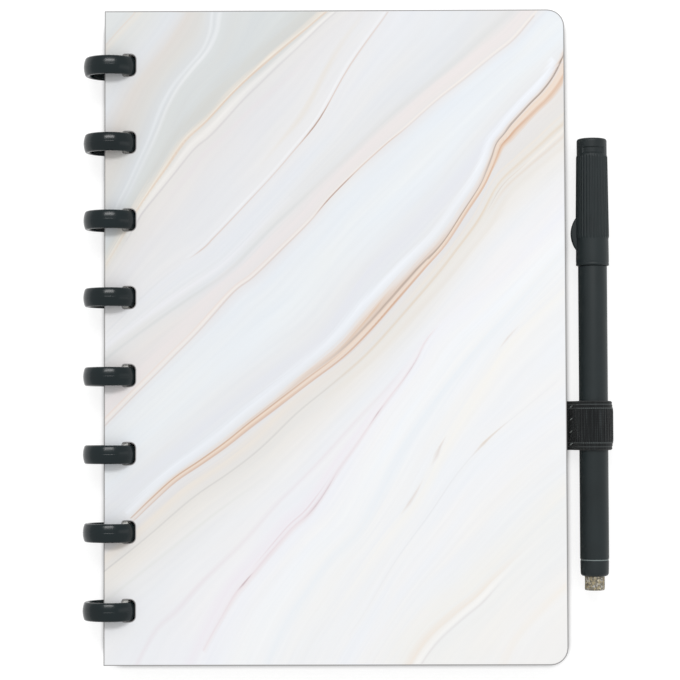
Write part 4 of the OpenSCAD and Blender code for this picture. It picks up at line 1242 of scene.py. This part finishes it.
def paperFinish(shape, levels):
    # coated paper with faint clouds; the outer faces carry ruled lines, a heading line and a column line
    material, tree, shader = startMaterial("pagePaper", {"Roughness": 0.55})
    place = objectPlace(tree)

    def within(value, low, high):
        above, below = maths(tree, "GREATER_THAN", value, low), maths(tree, "LESS_THAN", value, high)
        return maths(tree, "MULTIPLY", above, below)

    x, y, z = partsOf(tree, place)
    # lines are counted from one metre below the foot, where every place is above 0
    share = maths(tree, "DIVIDE", maths(tree, "SUBTRACT", y, shape["foot"] - 1), shape["pitch"])
    rules = maths(tree, "LESS_THAN", maths(tree, "FRACT", share), shape["thick"] / shape["pitch"])
    column = within(x, shape["column"], shape["column"] + 1.6 * shape["thick"])
    heading = within(y, shape["head"], shape["head"] + 2.5 * shape["thick"])
    drawn = maths(tree, "MAXIMUM", maths(tree, "MAXIMUM", rules, column), heading)
    outer = maths(tree, "SUBTRACT", 1.0, within(z, levels[0], levels[1]))
    for limit in (within(x, shape["left"], shape["right"]),
                  within(y, shape["foot"], shape["head"] + 3 * shape["thick"]), outer, shape["ink"]):
        drawn = maths(tree, "MULTIPLY", drawn, limit)
    clouds = noiseAt(tree, place, 400.0, 3.0)
    shade = mixColours(tree, clouds, linear(238, 237, 232), linear(247, 246, 242))
    tree.links.new(mixColours(tree, drawn, shade, linear(168, 176, 184)), shader.inputs["Base Color"])
    return material


points, faceSets = sheetStack(sheetShape)
pagesLow, pagesHigh = nodeBox("pages")
paper = paperFinish(ruleShape, ((pagesLow[2] + 0.02) * mm, (pagesHigh[2] - 0.02) * mm))
makePiece("pageStack", points, faceSets, paper, "pages", ["pages"], sharp=25)
print("sheets made")


# Floor, lamps and camera

stageShape = {
    "floorHalf": 3000.0,
    "cameraAt": (2.71, -29.85, 700.0),
    "cameraTurn": (2.374, 0.449, -0.151),
    "focal": 2149.2,  # in pixels of the photograph's frame
    "frameWidth": 680,
    "floorColour": 0.95,
    "shadeColour": 0.35,  # under the book and close beside it the floor takes this colour and glows no more
    "shadeFrom": 0.3,  # the shade starts to fade this far from the cover's edge, and has faded here
    "shadeTo": 2.8,
    "floorGlow": 1.2,  # what camera and mirror rays find on the floor, at this share
    "floorGlowShare": 0.66,
    "world": 0.7,
    "lamps": {  # place, size, watts
        "keyStrip": ((-60, 1150, 1950), (1500, 420), 19.8),
        "rightFill": ((900, 40, 420), (260, 900), 0.4),
    },
}


def bookShade(tree, shape):
    # 0 under the book and 1 away from it, by the distance from a rectangle with round corners
    low, high = (np.array(corner) * mm for corner in nodeBox("back_cover"))
    cornerR = slotShape["cornerRound"] * mm
    middle, half = (low + high) / 2 * (1, 1, 0), (high - low) / 2 - cornerR + (0, 0, 1)
    place = objectPlace(tree)
    for operation, second in (("SUBTRACT", middle), ("ABSOLUTE", (0, 0, 0)), ("SUBTRACT", half),
                              ("MAXIMUM", (0, 0, 0))):
        place = addNode(tree, "VectorMath", {0: place, 1: second}, operation=operation).outputs[0]
    away = addNode(tree, "VectorMath", {0: place}, operation="LENGTH").outputs["Value"]
    near, clear = cornerR + shape["shadeFrom"] * mm, cornerR + shape["shadeTo"] * mm
    return spread(tree, away, near, clear, 0.0, 1.0, "SMOOTHSTEP")


def stageFloor(shape):
    half = shape["floorHalf"] * mm
    mesh = bpy.data.meshes.new("floor")
    corners = [(-half, -half, 0), (half, -half, 0), (half, half, 0), (-half, half, 0)]
    mesh.from_pydata(corners, [], [(0, 1, 2, 3)])
    floor = bpy.data.objects.new("floor", mesh)
    bpy.context.scene.collection.objects.link(floor)
    material, tree, shader = startMaterial("floorWhite", {"Roughness": 0.9})
    openness = bookShade(tree, shape)
    shade = mixColours(tree, openness, (*[shape["shadeColour"]] * 3, 1), (*[shape["floorColour"]] * 3, 1))
    tree.links.new(shade, shader.inputs["Base Color"])
    rays = addNode(tree, "LightPath").outputs
    seen = maths(tree, "MAXIMUM", rays["Is Camera Ray"], rays["Is Glossy Ray"])
    seen = maths(tree, "MAXIMUM", seen, rays["Is Transmission Ray"])
    share = maths(tree, "MULTIPLY", maths(tree, "MULTIPLY", seen, shape["floorGlowShare"]), openness)
    glow = addNode(tree, "Emission", {"Color": (1, 1, 1, 1), "Strength": shape["floorGlow"]})
    mix = addNode(tree, "MixShader", {0: share, 1: shader.outputs[0], 2: glow.outputs[0]})
    tree.links.new(mix.outputs[0], tree.nodes["Material Output"].inputs["Surface"])
    mesh.materials.append(material)


def stageWorld(shape):
    world = bpy.data.worlds.new("studio")
    world.use_nodes = True
    background = world.node_tree.nodes["Background"]
    background.inputs["Color"].default_value = (1, 1, 1, 1)
    background.inputs["Strength"].default_value = shape["world"]
    bpy.context.scene.world = world


def stageLamps(shape):
    for name, (place, size, watts) in shape["lamps"].items():
        lamp = bpy.data.lights.new(name, "AREA")
        lamp.shape = "RECTANGLE"
        lamp.size, lamp.size_y = size[0] * mm, size[1] * mm
        lamp.energy = watts
        holder = bpy.data.objects.new(name, lamp)
        holder.location = Vector(place) * mm
        holder.rotation_euler = (-holder.location).to_track_quat("-Z", "Y").to_euler()
        bpy.context.scene.collection.objects.link(holder)


def stageCamera(shape):
    camera = bpy.data.cameras.new("camera")
    camera.sensor_width = 36.0
    camera.lens = shape["focal"] * camera.sensor_width / shape["frameWidth"]
    camera.clip_start, camera.clip_end = 0.01, 10.0
    holder = bpy.data.objects.new("camera", camera)
    holder.location = Vector(shape["cameraAt"]) * mm
    holder.rotation_euler = [math.radians(angle) for angle in shape["cameraTurn"]]
    bpy.context.scene.collection.objects.link(holder)
    bpy.context.scene.camera = holder


stageFloor(stageShape)
stageWorld(stageShape)
stageLamps(stageShape)
stageCamera(stageShape)
bpy.context.scene.view_settings.view_transform = "Standard"
print("stage set")
